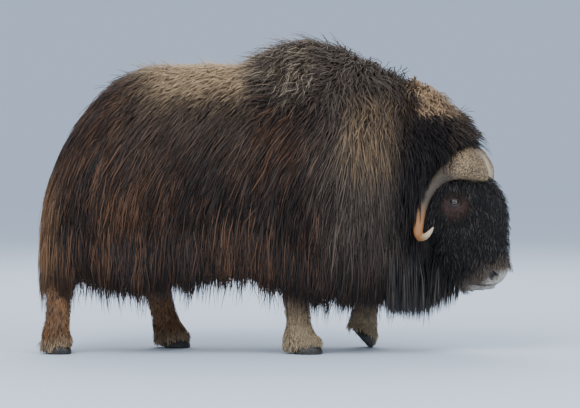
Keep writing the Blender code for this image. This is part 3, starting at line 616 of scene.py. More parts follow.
@dataclass(frozen=True)
class Markings:
    """The colours of the whole animal, worked out from where each hair grows."""

    dark: Colour = (0.014, 0.010, 0.010)
    brown: Colour = (0.040, 0.025, 0.019)
    chestnut: Colour = (0.165, 0.076, 0.036)
    # rump: redder hair on the rump's rear edge, with painted golden rim light in it
    rump: Colour = (0.280, 0.145, 0.066)
    saddle: Colour = (0.640, 0.455, 0.265)
    grey_brown: Colour = (0.106, 0.073, 0.053)
    panel: Colour = (0.135, 0.100, 0.076)
    hump_tip: Colour = (0.460, 0.365, 0.255)
    ochre: Colour = (0.290, 0.190, 0.105)
    nape: Colour = (0.560, 0.370, 0.210)
    face: Colour = (0.012, 0.010, 0.010)
    face_tip: Colour = (0.130, 0.108, 0.092)
    eyelid: Colour = (0.062, 0.027, 0.016)
    lid_rim: Colour = (0.060, 0.044, 0.040)
    muzzle: Colour = (0.520, 0.460, 0.390)
    muzzle_hair: Colour = (0.170, 0.125, 0.090)
    leg: Colour = (0.300, 0.145, 0.060)
    fore_leg: Colour = (0.400, 0.285, 0.165)
    foot: Colour = (0.560, 0.440, 0.280)
    orbit_reach: float = 0.085
    rim_reach: float = 0.045

    def colour(self, shader: Shader) -> Wire:
        """Builds the colour nodes, for a mesh that holds root, strand and zone.

        Args:
            shader: The material's nodes.

        Returns:
            The colour.
        """
        spot = Spot.read(shader)
        head, leg, bare = shader.parts(shader.attribute("zone"))
        coat = self.over_neck(spot, self.over_back(spot, self.over_flank(spot)))
        below_boss = (spot.z - spot.ahead * 0.3).ease(0.95, 0.90)
        coat = shader.mix(head * below_boss, coat, self.over_face(spot))
        coat = shader.mix(leg, coat, self.over_leg(spot))
        hairs = shader.noise(shader.stretched(shader.attribute("strand"), (90.0, 1.6, 7.0)), 1.0, 1.0)
        shade = (hairs - 0.5) * 1.3 + (spot.draw - 0.5) * 0.30 + spot.along * 0.42 + 0.70
        tone = shader.mix(1.0 - shade, coat, (0.0, 0.0, 0.0))
        rim = spot.near_eye(self.rim_reach).ease(0.1, 0.5)
        return shader.mix(bare * 0.9, tone, shader.mix(rim, self.face, self.lid_rim))

    def over_flank(self, spot: Spot) -> Wire:
        """The dark flank, streaked with chestnut, and the rump's rear edge, where the hair is redder and
        golden rim light is painted in.

        Args:
            spot: What is read.

        Returns:
            The colour.
        """
        mix = spot.shader.mix
        streak = spot.clump * 0.45 + spot.fine * 0.25 + spot.draw * 0.36 + 0.07 + (spot.patch - 0.5) * 0.7
        coat = mix(streak.ease(0.25, 0.75), self.dark, self.brown)
        red = (streak + (0.5 - spot.x) * 0.10 + spot.along * 0.12).ease(0.70, 1.0)
        coat = mix(red * 0.85, coat, self.chestnut)
        # Painted light: golden rim light on the rump's rear edge, mixed into the redder hair there.
        rear_edge_red_and_rim_light = (spot.x * -1.0 + spot.z * 0.12 + (spot.clump - 0.5) * 0.10).ease(0.99, 1.10)
        return mix(rear_edge_red_and_rim_light * 0.8, coat, self.rump)

    def over_back(self, spot: Spot, coat: Wire) -> Wire:
        """Adds the pale saddle, and the hump with its pale tips.

        Args:
            spot: What is read.
            coat: The colour so far.

        Returns:
            The colour.
        """
        mix = spot.shader.mix
        x, z, draw, ragged = spot.x, spot.z, spot.draw, spot.ragged
        loin = (x + ragged * 1.4).ease(-0.82, -0.22) * (x + ragged * 0.6).ease(0.00, -0.10)
        high = (z + ragged).ease(0.86, 1.20)
        coat = mix(high * loin.ease(0.0, 0.5) * 0.72, coat, self.grey_brown)
        pale = (z + ragged * 1.3).ease(1.08, 1.30) * loin
        coat = mix(pale.ease(0.10, 0.95) * (draw * 0.5 + 0.65), coat, self.saddle)
        hump = (z + ragged - (x - 0.12).away() * 0.30).ease(1.12, 1.22)
        hump = hump * x.ease(-0.16, -0.02) * x.ease(0.66, 0.52)
        coat = mix(hump * 0.80, coat, self.grey_brown)
        pale = (draw + spot.along * 0.45 + ragged).ease(0.78, 1.15) * hump * x.ease(0.60, 0.34)
        return mix(pale * 0.8, coat, self.hump_tip)

    def over_neck(self, spot: Spot, coat: Wire) -> Wire:
        """Adds the grey panel on the shoulder, the dark neck, the nape patch and the crest.

        Args:
            spot: What is read.
            coat: The colour so far.

        Returns:
            The colour.
        """
        mix = spot.shader.mix
        x, z, draw, along, ragged, soft = spot.x, spot.z, spot.draw, spot.along, spot.ragged, spot.soft
        panel = (x + (z - 0.75) * 0.08 + soft).ease(0.22, 0.36) * (x + soft).ease(0.63, 0.50)
        panel = panel * (z + ragged * 0.5).ease(0.52, 0.70)
        coat = mix(panel * (draw * 0.5 + 0.45), coat, self.panel)
        warm = panel * (z + ragged).ease(0.84, 1.00) * (z + ragged).ease(1.22, 1.12) * x.ease(0.30, 0.38)
        coat = mix(warm * (draw + along * 0.4).ease(0.30, 0.9) * 0.9, coat, self.ochre)
        nape = (x + soft * 0.4).ease(0.620, 0.670) * (z + x * 0.30 + soft * 0.5).ease(1.265, 1.320)
        nape = nape * (x * 0.8 + z + soft * 0.4).ease(1.810, 1.760)
        coat = mix(nape * (draw * 0.25 + 0.75), coat, self.nape)
        gloom = (x + soft).ease(0.46, 0.61) * (z + soft).ease(1.13, 1.01)
        coat = mix(gloom * 0.92, coat, self.dark)
        crest = (x + ragged * 0.5).ease(0.74, 0.80) * (z + ragged).ease(0.90, 0.98)
        return mix(crest * (draw * 0.4 + along * 0.5) * 0.9, coat, self.grey_brown)

    def over_face(self, spot: Spot) -> Wire:
        """The black face with grey tips, the brown orbit and the pale muzzle.

        Args:
            spot: What is read.

        Returns:
            The colour.
        """
        mix = spot.shader.mix
        z, ahead, draw = spot.z, spot.ahead, spot.draw
        clump, fine = spot.clump - 0.5, spot.fine - 0.5
        tips = (draw * 0.5 + spot.along * 0.6 + clump * 0.9).ease(0.50, 1.15)
        face = mix(tips, self.face, self.face_tip)
        orbit = spot.near_eye(self.orbit_reach).ease(0.05, 0.9)
        face = mix(orbit * (spot.clump * 1.4 + 0.1), face, self.eyelid)
        nose = (ahead * 0.9 - z + fine * 0.05).ease(-0.105, -0.045) * (z + fine * 0.02).ease(0.400, 0.375)
        lip = (z + ahead * 0.25 + fine * 0.02).ease(0.372, 0.350) * (ahead + fine * 0.03).ease(0.15, 0.21)
        snout = (ahead * 0.5 - z + clump * 0.05).ease(-0.300, -0.235)
        snout = snout * (ahead + fine * 0.05).ease(0.08, 0.18)
        face = mix(snout * (draw * 0.4 + 0.5), face, self.muzzle_hair)
        return mix(nose.larger(lip * 0.8) * (draw * 0.25 + 0.75), face, self.muzzle)

    def over_leg(self, spot: Spot) -> Wire:
        """The brown legs, paler in front, with pale feet.

        Args:
            spot: What is read.

        Returns:
            The colour.
        """
        mix = spot.shader.mix
        z, draw, clump = spot.z, spot.draw, spot.clump - 0.5
        leg = mix((spot.clump * 0.5 + draw * 0.6).ease(0.15, 0.75), self.brown, self.leg)
        fore = spot.x.ease(-0.2, 0.1)
        shin = fore * (z * -1.0 + clump * 0.12).ease(-0.42, -0.18)
        leg = mix(shin * 0.75, leg, self.fore_leg)
        foot = (z + clump * 0.08).ease(0.10, 0.03).larger(fore * (z + clump * 0.1).ease(0.20, 0.08))
        return mix(foot * (draw * 0.5 + 0.35), leg, self.foot)


@dataclass(frozen=True)
class FurFinish:
    """Hair: the markings, with fine strands along each tuft."""

    name: str
    roughness: float = 0.62
    strand_bump: float = 0.35
    markings: Markings = field(default_factory=Markings)

    def material(self) -> bpy.types.Material:
        """Makes the finish.

        Returns:
            The material.
        """
        shader = Shader(self.name, Specular_IOR_Level=0.35)
        shader.set("Base Color", self.markings.colour(shader))
        hairs = shader.noise(shader.stretched(shader.attribute("strand"), (90.0, 1.2, 9.0)), 1.0, 2.0)
        shader.bump(hairs, self.strand_bump, 0.002)
        shader.set("Roughness", hairs * 0.3 + (self.roughness - 0.15))
        return shader.material


@dataclass(frozen=True)
class SkinFinish:
    """Short flat hair close on the body, with the coat's markings."""

    name: str = "skin"
    markings: Markings = field(default_factory=Markings)

    def material(self) -> bpy.types.Material:
        """Makes the finish.

        Returns:
            The material.
        """
        shader = Shader(self.name)
        root = shader.attribute("root")
        shader.set("Base Color", self.markings.colour(shader))
        _, _, bare = shader.parts(shader.attribute("zone"))
        hairs = shader.noise(shader.stretched(root, (1.0, 1.0, 0.22)), 420.0, 2.0)
        folds = shader.noise(root, 60.0, 3.0)
        shader.bump(hairs * (1.0 - bare * 0.9) + folds * 0.6, 0.5, 0.003)
        shader.set("Roughness", 0.75 - bare * 0.3)
        return shader.material


@dataclass(frozen=True)
class HornFinish:
    """Horn: cracked and pale at the base, orange at the bend, cream at the tip."""

    name: str = "horn"
    base: Colour = (0.310, 0.210, 0.108)
    crack: Colour = (0.040, 0.028, 0.019)
    edge: Colour = (0.520, 0.440, 0.330)
    shaft: Colour = (0.066, 0.048, 0.033)
    bend: Colour = (0.360, 0.150, 0.045)
    tip: Colour = (0.700, 0.540, 0.330)

    def material(self) -> bpy.types.Material:
        """Makes the finish.

        Returns:
            The material.
        """
        shader = Shader(self.name)
        run = shader.attribute("run")
        _, along, _ = shader.parts(run)
        mix = shader.mix
        fibres = shader.noise(shader.stretched(run, (7.0, 3.0, 0.0)), 6.0, 4.0, 0.65)
        place = shader.add("ShaderNodeTexCoord", {}, {}, "Object")
        speck = shader.noise(place, 175.0, 3.0, 0.6)
        cracks = (speck * 0.8 + fibres * 0.2).ease(0.55, 0.47)
        blotch = shader.noise(place, 28.0, 2.0)
        colour = mix(fibres.ease(0.4, 0.9) * 0.40, self.shaft, self.base)
        colour = mix(along.ease(0.24, 0.34), self.base, colour)
        colour = mix(blotch.ease(0.45, 0.70) * along.ease(0.40, 0.25) * 0.4, colour, self.crack)
        colour = mix(along.ease(0.50, 0.66) * 0.9, colour, self.bend)
        colour = mix(along.ease(0.78, 0.92), colour, self.tip)
        colour = mix((along - 0.985).ease(0.0, 0.012) * 0.7, colour, self.crack)
        depth = along.ease(0.50, 0.28)
        colour = mix((along + blotch * 0.04).ease(0.110, 0.075) * 0.6, colour, self.edge)
        colour = mix(cracks * (depth * 0.80 + 0.08) * along.ease(0.02, 0.12), colour, self.crack)
        shader.set("Base Color", colour)
        shader.bump(fibres * 0.6 + speck * 0.8 * depth, 0.7, 0.004)
        shader.set("Roughness", 0.42 + depth * 0.25 + cracks * 0.15)
        return shader.material


@dataclass(frozen=True)
class HoofFinish:
    """Dark, worn horn with growth lines."""

    name: str = "hoof"
    dark: Colour = (0.014, 0.012, 0.011)
    worn: Colour = (0.085, 0.070, 0.056)

    def material(self) -> bpy.types.Material:
        """Makes the finish.

        Returns:
            The material.
        """
        shader = Shader(self.name)
        place = shader.add("ShaderNodeTexCoord", {}, {}, "Object")
        lines = shader.noise(shader.stretched(place, (14.0, 14.0, 170.0)), 1.0, 2.0)
        scuffs = shader.noise(place, 55.0, 4.0, 0.7)
        shader.set("Base Color", shader.mix(scuffs.ease(0.5, 0.75), self.dark, self.worn))
        shader.bump(lines + scuffs * 0.4, 0.5, 0.002)
        shader.set("Roughness", 0.35 + scuffs * 0.3)
        return shader.material


@dataclass(frozen=True)
class EyeFinish:
    """A dark brown eye with a level pupil, under a wet surface."""

    name: str = "eye"
    iris: Colour = (0.055, 0.022, 0.010)
    pupil: Colour = (0.004, 0.004, 0.006)
    rim: Colour = (0.012, 0.009, 0.008)

    def material(self) -> bpy.types.Material:
        """Makes the finish.

        Returns:
            The material.
        """
        shader = Shader(self.name, Roughness=0.06, Coat_Weight=1.0, Coat_Roughness=0.02)
        gaze = shader.attribute("gaze")
        level, upright, _ = shader.parts(gaze)
        spread = (level * 0.55) ** 2.0 + (upright * 1.5) ** 2.0
        whole = level ** 2.0 + upright ** 2.0
        rays = shader.noise(gaze, 9.0, 3.0)
        colour = shader.mix(rays * 0.5, self.iris, self.rim)
        colour = shader.mix(spread.ease(0.085, 0.055), colour, self.pupil)
        colour = shader.mix(whole.ease(0.34, 0.45), colour, self.rim)
        shader.set("Base Color", colour)
        return shader.material


def chart_of(root: Array, zone: Zone) -> Array:
    """Unwraps the places where hair grows: round and along the trunk, the head or a leg.

    Args:
        root: Where each tuft grows.
        zone: What they grow on.

    Returns:
        Each root's place on the map.
    """
    x, y, z = root.T
    legs_x, leg_y, trunk_z, trunk_end = (-0.945, -0.53, 0.11, 0.42), 0.168, 0.78, 1.12
    if zone is Zone.HEAD:
        own = seen_from_head(root)
        round_head = np.arctan2(own[:, 1], own[:, 0] - 0.12) / math.tau + 0.5
        chart = np.stack([round_head, (z - 0.1) / 1.1], axis=1)
    elif zone is Zone.LEG:
        leg = np.where(x > 0.0, 2, 0) + (y > 0)
        round_leg = np.arctan2(np.abs(y) - leg_y, x - np.choose(leg, legs_x)) / math.tau + 0.5
        chart = np.stack([(leg + round_leg) / 4, z / 0.75], axis=1)
    else:
        round_trunk = np.arctan2(y, z - trunk_z) / math.tau + 0.5
        chart = np.stack([(x + trunk_end) / (2 * trunk_end), round_trunk], axis=1)
    return 0.01 + 0.98 * np.clip(chart, 0, 1)


@dataclass(frozen=True)
class Batch:
    """Tufts of one kind, their places along the second axis of path and facing.

    facing says which way each ridge points, width and ridge are its sizes, root is where it grows
    and draw is its own random number.
    """

    SHARES: ClassVar[tuple[float, ...]] = (0.62, 1.0, 0.90, 0.72, 0.48)

    path: Array
    facing: Array
    width: Array
    ridge: Array
    root: Array
    zone: Zone
    draw: Array

    @property
    def rings(self) -> int:
        """How many three-sided rings a tuft has before its tip."""
        return self.path.shape[1] - 1

    def blades(self) -> Array:
        """Makes each tuft's vertices.

        Returns:
            One row of places for each tuft, its tip last.
        """
        along = unit(np.gradient(self.path, axis=1))
        across = unit(np.cross(along, self.facing))
        up = unit(np.cross(across, along))[:, :-1]
        places = np.linspace(0, 1, self.rings + 1)[:-1]
        share = np.interp(places, np.linspace(0, 0.8, len(self.SHARES)), self.SHARES)
        half = across[:, :-1] * (self.width[:, None] * share / 2)[..., None]
        ridge = up * (self.ridge[:, None] * (0.6 + 0.4 * share))[..., None]
        mid = self.path[:, :-1]
        ring = np.stack([mid - half, mid + ridge, mid + half], axis=2)
        return np.concatenate([ring.reshape(len(ring), -1, 3), self.path[:, -1:]], axis=1)

    def faces(self) -> tuple[Array, Array]:
        """Makes one tuft's faces.

        Returns:
            The corners of all its faces in one row, and the size of each face.
        """
        last = (self.rings - 1) * 3
        walls = [(r + k, r + (k + 1) % 3, r + 3 + (k + 1) % 3, r + 3 + k)
                 for r in range(0, last, 3) for k in range(3)]
        ends = [(last + k, last + (k + 1) % 3, last + 3) for k in range(3)] + [(2, 1, 0)]
        faces = walls + ends
        return np.array([i for face in faces for i in face]), np.array([len(face) for face in faces])

    def shares(self) -> tuple[Array, Array]:
        """The share along and the share across, for each vertex of a tuft."""
        along = np.repeat(np.arange(self.rings) / self.rings, 3)
        return np.append(along, 1.0), np.append(np.tile([0.0, 0.5, 1.0], self.rings), 0.5)


class Tufts:
    """Many tapered tufts, each a closed three-sided blade along its own path."""

    def __init__(self) -> None:
        """Starts with none."""
        self.batches: list[Batch] = []

    def add(self, path: Array, facing: Array, width: Array, root: Array, zone: Zone,
            rng: np.random.Generator, ridge: float = 0.35) -> None:
        """Adds tufts.

        Args:
            path: Places along each tuft, from its root to its tip.
            facing: Which way its ridge faces at each place.
            width: Its widest width.
            root: Where it grows, for the markings.
            zone: What it grows on.
            rng: The draw.
            ridge: The height of its ridge as a share of its width.
        """
        path[..., 2] = np.maximum(path[..., 2], LOWEST_HAIR)
        self.batches.append(Batch(path, facing, width, width * ridge, root, zone, rng.random(len(path))))

    def build(self, name: str) -> bpy.types.Object:
        """Makes one object of all tufts.

        Args:
            name: Its name.

        Returns:
            The object, with its markings and its bake map.
        """
        points, corners, sizes, charts, roots, strands, zones = ([] for _ in range(7))
        base = 0
        for batch in self.batches:
            block = batch.blades()
            count, per = block.shape[:2]
            flat, size = batch.faces()
            along, across = batch.shares()
            points.append(block.reshape(-1, 3))
            corners.append((base + np.arange(count)[:, None] * per + flat).ravel())
            sizes.append(np.tile(size, count))
            roots.append(np.repeat(batch.root, per, axis=0))
            strands.append(np.stack([np.repeat(batch.draw, per), np.tile(along, count),
                                     np.tile(across, count)], axis=1))
            zones.append(np.tile(batch.zone.value, (count * per, 1)))
            spot = np.stack([across, along], axis=1)[flat] - 0.5
            chart = chart_of(batch.root, batch.zone)[:, None, :] + spot * BAKE_PATCH
            charts.append(chart.reshape(-1, 2))
            base += count * per
        points, corners, sizes = (np.concatenate(rows) for rows in (points, corners, sizes))
        mesh = bpy.data.meshes.new(name)
        mesh.vertices.add(len(points))
        mesh.vertices.foreach_set("co", points.astype(np.float32).ravel())
        mesh.loops.add(len(corners))
        mesh.loops.foreach_set("vertex_index", corners.astype(np.int32))
        mesh.polygons.add(len(sizes))
        mesh.polygons.foreach_set("loop_start", (np.cumsum(sizes) - sizes).astype(np.int32))
        mesh.update(calc_edges=True)
        obj = bpy.data.objects.new(name, mesh)
        bpy.context.scene.collection.objects.link(obj)
        chart_layer = mesh.uv_layers.new(name="OFBake")
        chart_layer.data.foreach_set("uv", np.concatenate(charts).astype(np.float32).ravel())
        for key, rows in (("root", roots), ("strand", strands), ("zone", zones)):
            store(obj, key, np.concatenate(rows))
        mesh.shade_smooth()
        return obj


@dataclass
class Trunk:
    """The trunk and neck: the coat's outline, and the body under it."""

    back: Line = (
        (RUMP_X, 0.50), (-1.035, 0.65), (-0.99, 0.81), (-0.90, 1.00), (-0.80, 1.13), (-0.67, 1.235),
        (-0.50, BACK_HEIGHT - 0.005), (-0.30, BACK_HEIGHT), (-0.16, 1.285), (-0.05, 1.335), (0.06, 1.385),
        (0.17, HUMP_HEIGHT), (0.30, 1.375), (0.44, 1.32), (0.58, 1.25), (0.70, 1.205), (0.79, 1.135),
        (0.87, 1.05), (0.93, 0.93),
    )
    tips: Line = (
        (RUMP_X, 0.24), (-0.98, 0.21), (-0.85, 0.27), (-0.70, 0.24), (-0.52, 0.215), (-0.30, 0.265),
        (-0.12, 0.295), (0.05, 0.22), (0.20, 0.165), (0.36, 0.175), (0.48, 0.195), (0.62, 0.15),
        (0.76, 0.145), (0.93, 0.20),
    )
    belly: Line = ((RUMP_X, 0.50), (-0.85, 0.46), (-0.30, 0.45), (0.20, 0.42), (0.60, 0.42), (0.93, 0.50))
    width: Line = (
        (RUMP_X, 0.045), (-1.035, 0.115), (-0.99, 0.195), (-0.90, 0.270), (-0.76, 0.325), (-0.55, 0.360),
        (-0.20, 0.372), (0.15, 0.380), (0.34, 0.365), (0.50, 0.320), (0.65, 0.262), (0.80, 0.215),
        (0.93, 0.150),
    )
    front: float = 0.93
    depth: float = 0.060

    def ring(self, x: Array, around: Array, low: Array) -> Array:
        """Places on the outline.

        Args:
            x: How far along the animal each is.
            around: The share of the way round from the back line.
            low: The outline's lowest height there.

        Returns:
            The places.
        """
        top, width = curve(self.back, x), curve(self.width, x)
        waist = np.minimum(WIDEST_HEIGHT, (top + low) / 2 + 0.02)
        hump = ease(x, -0.15, 0.15) * (1 - ease(x, 0.45, 0.65))
        side = np.where(around <= 0.5, 1.0, -1.0)
        t = np.where(around <= 0.5, around * 2, 2 - around * 2)
        upper, lower = np.minimum(t, 0.5) * math.pi, np.maximum(t - 0.5, 0.0) * math.pi
        above, below = np.cos(upper).clip(0), np.cos(lower).clip(0)
        y_up = width * np.sin(upper) ** (1.0 + 0.25 * hump)
        z_up = waist + (top - waist) * above ** (0.9 - 0.1 * hump)
        y_low = width * below ** 0.32 * (1 - SKIRT_TUCK * np.sin(lower) ** 2)
        z_low = waist - (waist - low) * np.sin(lower) ** 0.95
        upper_half = t < 0.5
        y, z = np.where(upper_half, y_up, y_low), np.where(upper_half, z_up, z_low)
        return np.stack([x, side * y, z], axis=1)

    def shell(self, name: str, low_line: Line, drop: float, inset: float) -> bpy.types.Object:
        """Makes a closed outline of the trunk.

        Args:
            name: The object's name.
            low_line: The line that it comes down to.
            drop: How far under that line it ends.
            inset: How far it is drawn in all round and off the rump.

        Returns:
            The outline.
        """
        cap = 0.035

        def shape(u: Array, v: Array) -> Array:
            """Gives the outline's places.

            Args:
                u: Shares along it.
                v: Shares round it.

            Returns:
                The places.
            """
            x = RUMP_X + (self.front - RUMP_X) * (between_caps(u, cap) ** 1.35)
            low = curve(low_line, x) - drop
            places = self.ring(x, v, low)
            middle = np.stack([x, 0 * x, (curve(self.back, x) + low) / 2], axis=1)
            arm = places - middle
            reach = np.linalg.norm(arm, axis=1, keepdims=True)
            places = middle + unit(arm) * np.maximum(reach - inset, reach * 0.3) * closing(u, cap)[:, None]
            places[:, 0] += inset * 1.15 * ease(x, -0.45, -0.98) + SHIFT_X
            return places

        return tube(name, shape, rows=110, sides=100)

    def body(self) -> bpy.types.Object:
        """The body under the coat."""
        return self.shell("skin", self.belly, 0.0, self.depth)

    def outline(self) -> Surface:
        """Makes the coat's outer surface, from the back to below the tips.

        Returns:
            The surface.
        """
        obj = self.shell("outline", self.tips, GUIDE_DROP, 0.0)
        surface = Surface(obj)
        bpy.data.objects.remove(obj, do_unlink=True)
        return surface

    def lie(self, place: Array, normal: Array) -> Array:
        """Which way the hair points.

        Args:
            place: Places on the coat's outline.
            normal: The outline's normals there.

        Returns:
            One direction for each place.
        """
        back = 0.62 * ease(place[:, 2], 0.42, 1.10) + 0.04
        back = back * (1 - 1.1 * ease(place[:, 0], 0.22, 0.42))
        back = back * (0.35 + 0.65 * ease(place[:, 0], -0.95, -0.55))
        crest = ease(normal[:, 2], 0.45, 0.9)
        out = 0.9 * np.clip(place[:, 1] / 0.11, -1, 1) + 0.35 * drift(place, 16.0, 51)
        flow = np.stack([-back - 0.5 * crest, out * crest, -np.ones(len(place))], axis=1)
        return unit(flow - normal * (flow * normal).sum(1, keepdims=True))


@dataclass(frozen=True)
class Foot:
    """Where a foot stands, its size, and how far it is tipped on its toe."""

    middle: Colour
    length: float
    width: float
    tip: float = 0.0

    @property
    def turn(self) -> Array:
        """The rotation that tips it."""
        return np.array(Matrix.Rotation(self.tip, 3, "Y"))

    @property
    def toe(self) -> Array:
        """The place that it tips about."""
        return np.array(self.middle) + np.array([self.length / 2, 0, 0])


@dataclass
class Leg:
    """One leg, from inside the trunk to the coronet."""

    rows: tuple[tuple[Colour, float, float], ...]
    foot: Foot
    coronet: tuple[tuple[float, float], ...] = ((0.034, 0.90), (0.018, 0.80))
    dewclaw: Colour = (0.018, 0.012, 0.016)
    sole: float = 0.008

    def rings(self) -> Array:
        """Works out the leg's rings.

        Returns:
            Each ring's middle, its way ahead, and its half depth and half width.
        """
        places = np.array([row[0] for row in self.rows])
        table = []
        for i, (place, deep, wide) in enumerate(self.rows):
            along = unit(places[min(i + 1, len(places) - 1)] - places[max(i - 1, 0)])
            level = unit(unit(np.array([along[0], 0, along[2]])) * 0.5 + np.array([0, 0, -0.5]))
            table.append([*place, -level[2], 0.0, level[0], deep, wide])
        length, turn = self.foot.length, self.foot.turn
        for up, size in self.coronet:
            at = self.foot.toe + turn @ np.array([-length / 2 - 0.010, 0, up])
            ahead = turn @ np.array([1.0, 0, 0])
            table.append([*at, *ahead, length * 0.56 * size, self.foot.width * 0.47 * size])
        return np.array(table)

    def build(self) -> bpy.types.Object:
        """Makes the leg with its dewclaws.

        Returns:
            The leg.
        """
        table = self.rings()

        def shape(u: Array, v: Array) -> Array:
            """Gives the leg's places.

            Args:
                u: Shares down it.
                v: Shares round it.

            Returns:
                The places.
            """
            cap = 0.02
            s = between_caps(u, cap) * (len(table) - 1)
            value = read_rows(table, s)
            angle = v * math.tau
            size = closing(u, cap)[:, None]
            bulge = 1 + 0.05 * np.cos(angle * 2 + 0.6)[:, None] * ease(s, 2.0, 4.0)[:, None]
            ahead = unit(value[:, 3:6]) * (value[:, 6] * np.cos(angle))[:, None]
            sideways = np.zeros_like(ahead)
            sideways[:, 1] = value[:, 7] * np.sin(angle)
            return value[:, :3] + (ahead + sideways) * size * bulge

        obj = tube("leg", shape, rows=64, sides=40)
        claws = []
        for side in (-1, 1):
            from_toe = np.array([-self.foot.length * 0.96, side * self.foot.width * 0.25, 0.052])
            middle = self.foot.toe + self.foot.turn @ from_toe
            claws.append(ball("dewclaw", middle, self.dewclaw, segments=16, rings=10))
        fused(obj, claws, voxel=0.0058, smooth=2)
        points = points_of(obj)
        points[:, 2] = np.maximum(points[:, 2], self.sole)
        points[:, 0] += SHIFT_X
        set_points(obj, points)
        return obj


@dataclass
class Head:
    """The head in its own frame: orbits, lids, brows, nose, lips, jaw and ears."""

    slices: tuple[tuple[float, float, float, float], ...] = (
        (1.045, 0.030, 0.115, 0.050), (1.010, 0.000, 0.140, 0.085), (0.960, -0.040, 0.156, 0.110),
        (0.900, -0.080, 0.172, 0.125), (0.840, -0.100, 0.200, 0.130), (0.780, -0.120, 0.242, 0.132),
        (0.730, -0.130, 0.292, 0.133), (0.685, -0.140, 0.320, 0.132), (0.640, -0.140, 0.334, 0.127),
        (0.590, -0.130, 0.340, 0.121), (0.535, -0.110, 0.341, 0.114), (0.480, -0.070, 0.341, 0.105),
        (0.435, -0.005, 0.341, 0.096), (0.400, 0.035, 0.344, 0.089), (0.370, 0.070, 0.348, 0.084),
        (0.340, 0.100, 0.336, 0.078), (0.310, 0.125, 0.309, 0.069), (0.280, 0.150, 0.236, 0.050),
    )
    lid: float = 0.0052
    pit_depth: float = 0.012
    play: float = 0.0004
    pit: Colour = (0.035, 0.023, 0.029)
    slit: Colour = (0.0310, 0.0120, 0.022)
    mouth: tuple[Colour, ...] = (
        (0.320, 0.0, 0.300), (0.296, -0.044, 0.300), (0.250, -0.066, 0.303), (0.190, -0.078, 0.314),
    )
    nostril: Colour = (0.303, -0.058, 0.344)
    nostril_slant: Colour = (0.55, 0.0, -0.83)
    nostril_slit: Colour = (0.0130, 0.0320, 0.020)
    nostril_wing: Colour = (0.0175, 0.0170, 0.021)
    wing_drop: float = 0.013
    ear_root: Colour = (0.000, -0.118, 0.742)
    ear_tip: Colour = (-0.058, -0.262, 0.700)
    ear_width: float = 0.062
    ear_front: Colour = (0.75, 0.0, -0.25)
    ear_cup: float = 0.016
    ear_outline: Line = (
        (-0.18, 0.50), (0.0, 0.62), (0.2, 0.85), (0.45, 1.0), (0.7, 0.82), (0.88, 0.48), (1.0, 0.12),
    )

    def core(self) -> bpy.types.Object:
        """Makes the skull's outline with its swellings.

        Returns:
            The skull.
        """
        rows = tuple(sorted(self.slices))
        columns = [tuple((row[0], row[k]) for row in rows) for k in (1, 2, 3)]
        low, high = rows[0][0], rows[-1][0]

        def shape(u: Array, v: Array) -> Array:
            """Gives the skull's places.

            Args:
                u: Shares from the chin to the crown.
                v: Shares round it.

            Returns:
                The places.
            """
            cap = 0.03
            z = low + (high - low) * between_caps(u, cap)
            back, front, wide = (curve(column, z) for column in columns)
            angle = v * math.tau
            c, s = np.cos(angle), np.sin(angle)
            middle = (back + front) / 2
            half = (front - back) / 2
            taper = 1 - 0.20 * np.maximum(0.0, c) ** 2
            size = np.sqrt(closing(u, cap))
            x = middle + half * np.sign(c) * np.abs(c) ** 0.85 * size
            y = wide * taper * np.sign(s) * np.abs(s) ** 0.85 * size
            return np.stack([x, y, z], axis=1)

        obj = tube("head", shape, rows=150, sides=120)
        points = points_of(obj)
        for side in Side:
            out = np.array([0.0, side.value, 0.0])
            eye = EYE_PLACE * side.flip
            brow = (eye + (0, 0, 0.045), 0.085, out * 0.016)
            cheek = (eye + (0.075, 0, -0.08), 0.10, out * -0.012)
            snout = (np.array([0.310, side.value * 0.055, 0.365]), 0.055, out * 0.012 + (0.004, 0, 0))
            jaw = (np.array([0.12, side.value * 0.11, 0.50]), 0.12, out * 0.012)
            for middle, radius, push in (brow, cheek, snout, jaw):
                share = np.clip(1 - np.linalg.norm(points - middle, axis=1) / radius, 0, 1)
                points += push * ease(share, 0.0, 1.0)[:, None]
        set_points(obj, points)
        return obj

    def lips(self, head: bpy.types.Object) -> tuple[list[bpy.types.Object], bpy.types.Object]:
        """Makes the lips along the mouth's line.

        Args:
            head: The skull that they lie on.

        Returns:
            The two lips, and the cutter for the line between them.
        """
        tree = BVHTree.FromObject(head, bpy.context.evaluated_depsgraph_get())
        near = [np.array(tree.find_nearest(p)[0]) for p in self.mouth]
        line = np.array([p * (1, -1, 1) for p in reversed(near)] + near[1:])
        made = []
        for name, lift, back, deep, high in (
            ("lip_upper", 0.0105, 0.007, 0.011, 0.0125),
            ("lip_lower", -0.0125, 0.034, 0.013, 0.0120),
            ("mouth_line", -0.002, 0.014, 0.024, 0.0016),
        ):
            def shape(u: Array, v: Array) -> Array:
                """Gives a lip's places.

                Args:
                    u: Shares along the mouth.
                    v: Shares round the lip.

                Returns:
                    The places.
                """
                middle = read_rows(line, u * (len(line) - 1))
                out = unit(middle - np.array([0.20, 0, 0]) * (1, 0, 1) - middle * (0, 0, 1))
                size = closing(u, 0.12) ** 0.5
                angle = v * math.tau
                middle = middle - out * back + np.array([0, 0, lift])
                place = middle + out * (np.cos(angle) * deep * size)[:, None]
                place[:, 2] += np.sin(angle) * high * size
                return place
            made.append(tube(name, shape, rows=60, sides=16))
        return made[:2], made[2]

    def ear(self, side: Side) -> bpy.types.Object:
        """Makes one ear with its cup.

        Args:
            side: Which ear.

        Returns:
            The ear.
        """
        root, tip = np.array(self.ear_root) * side.flip, np.array(self.ear_tip) * side.flip
        along = unit(tip - root)
        front = np.array(self.ear_front)
        front = unit(front - along * front.dot(along))
        across = np.cross(along, front)
        length = np.linalg.norm(tip - root)

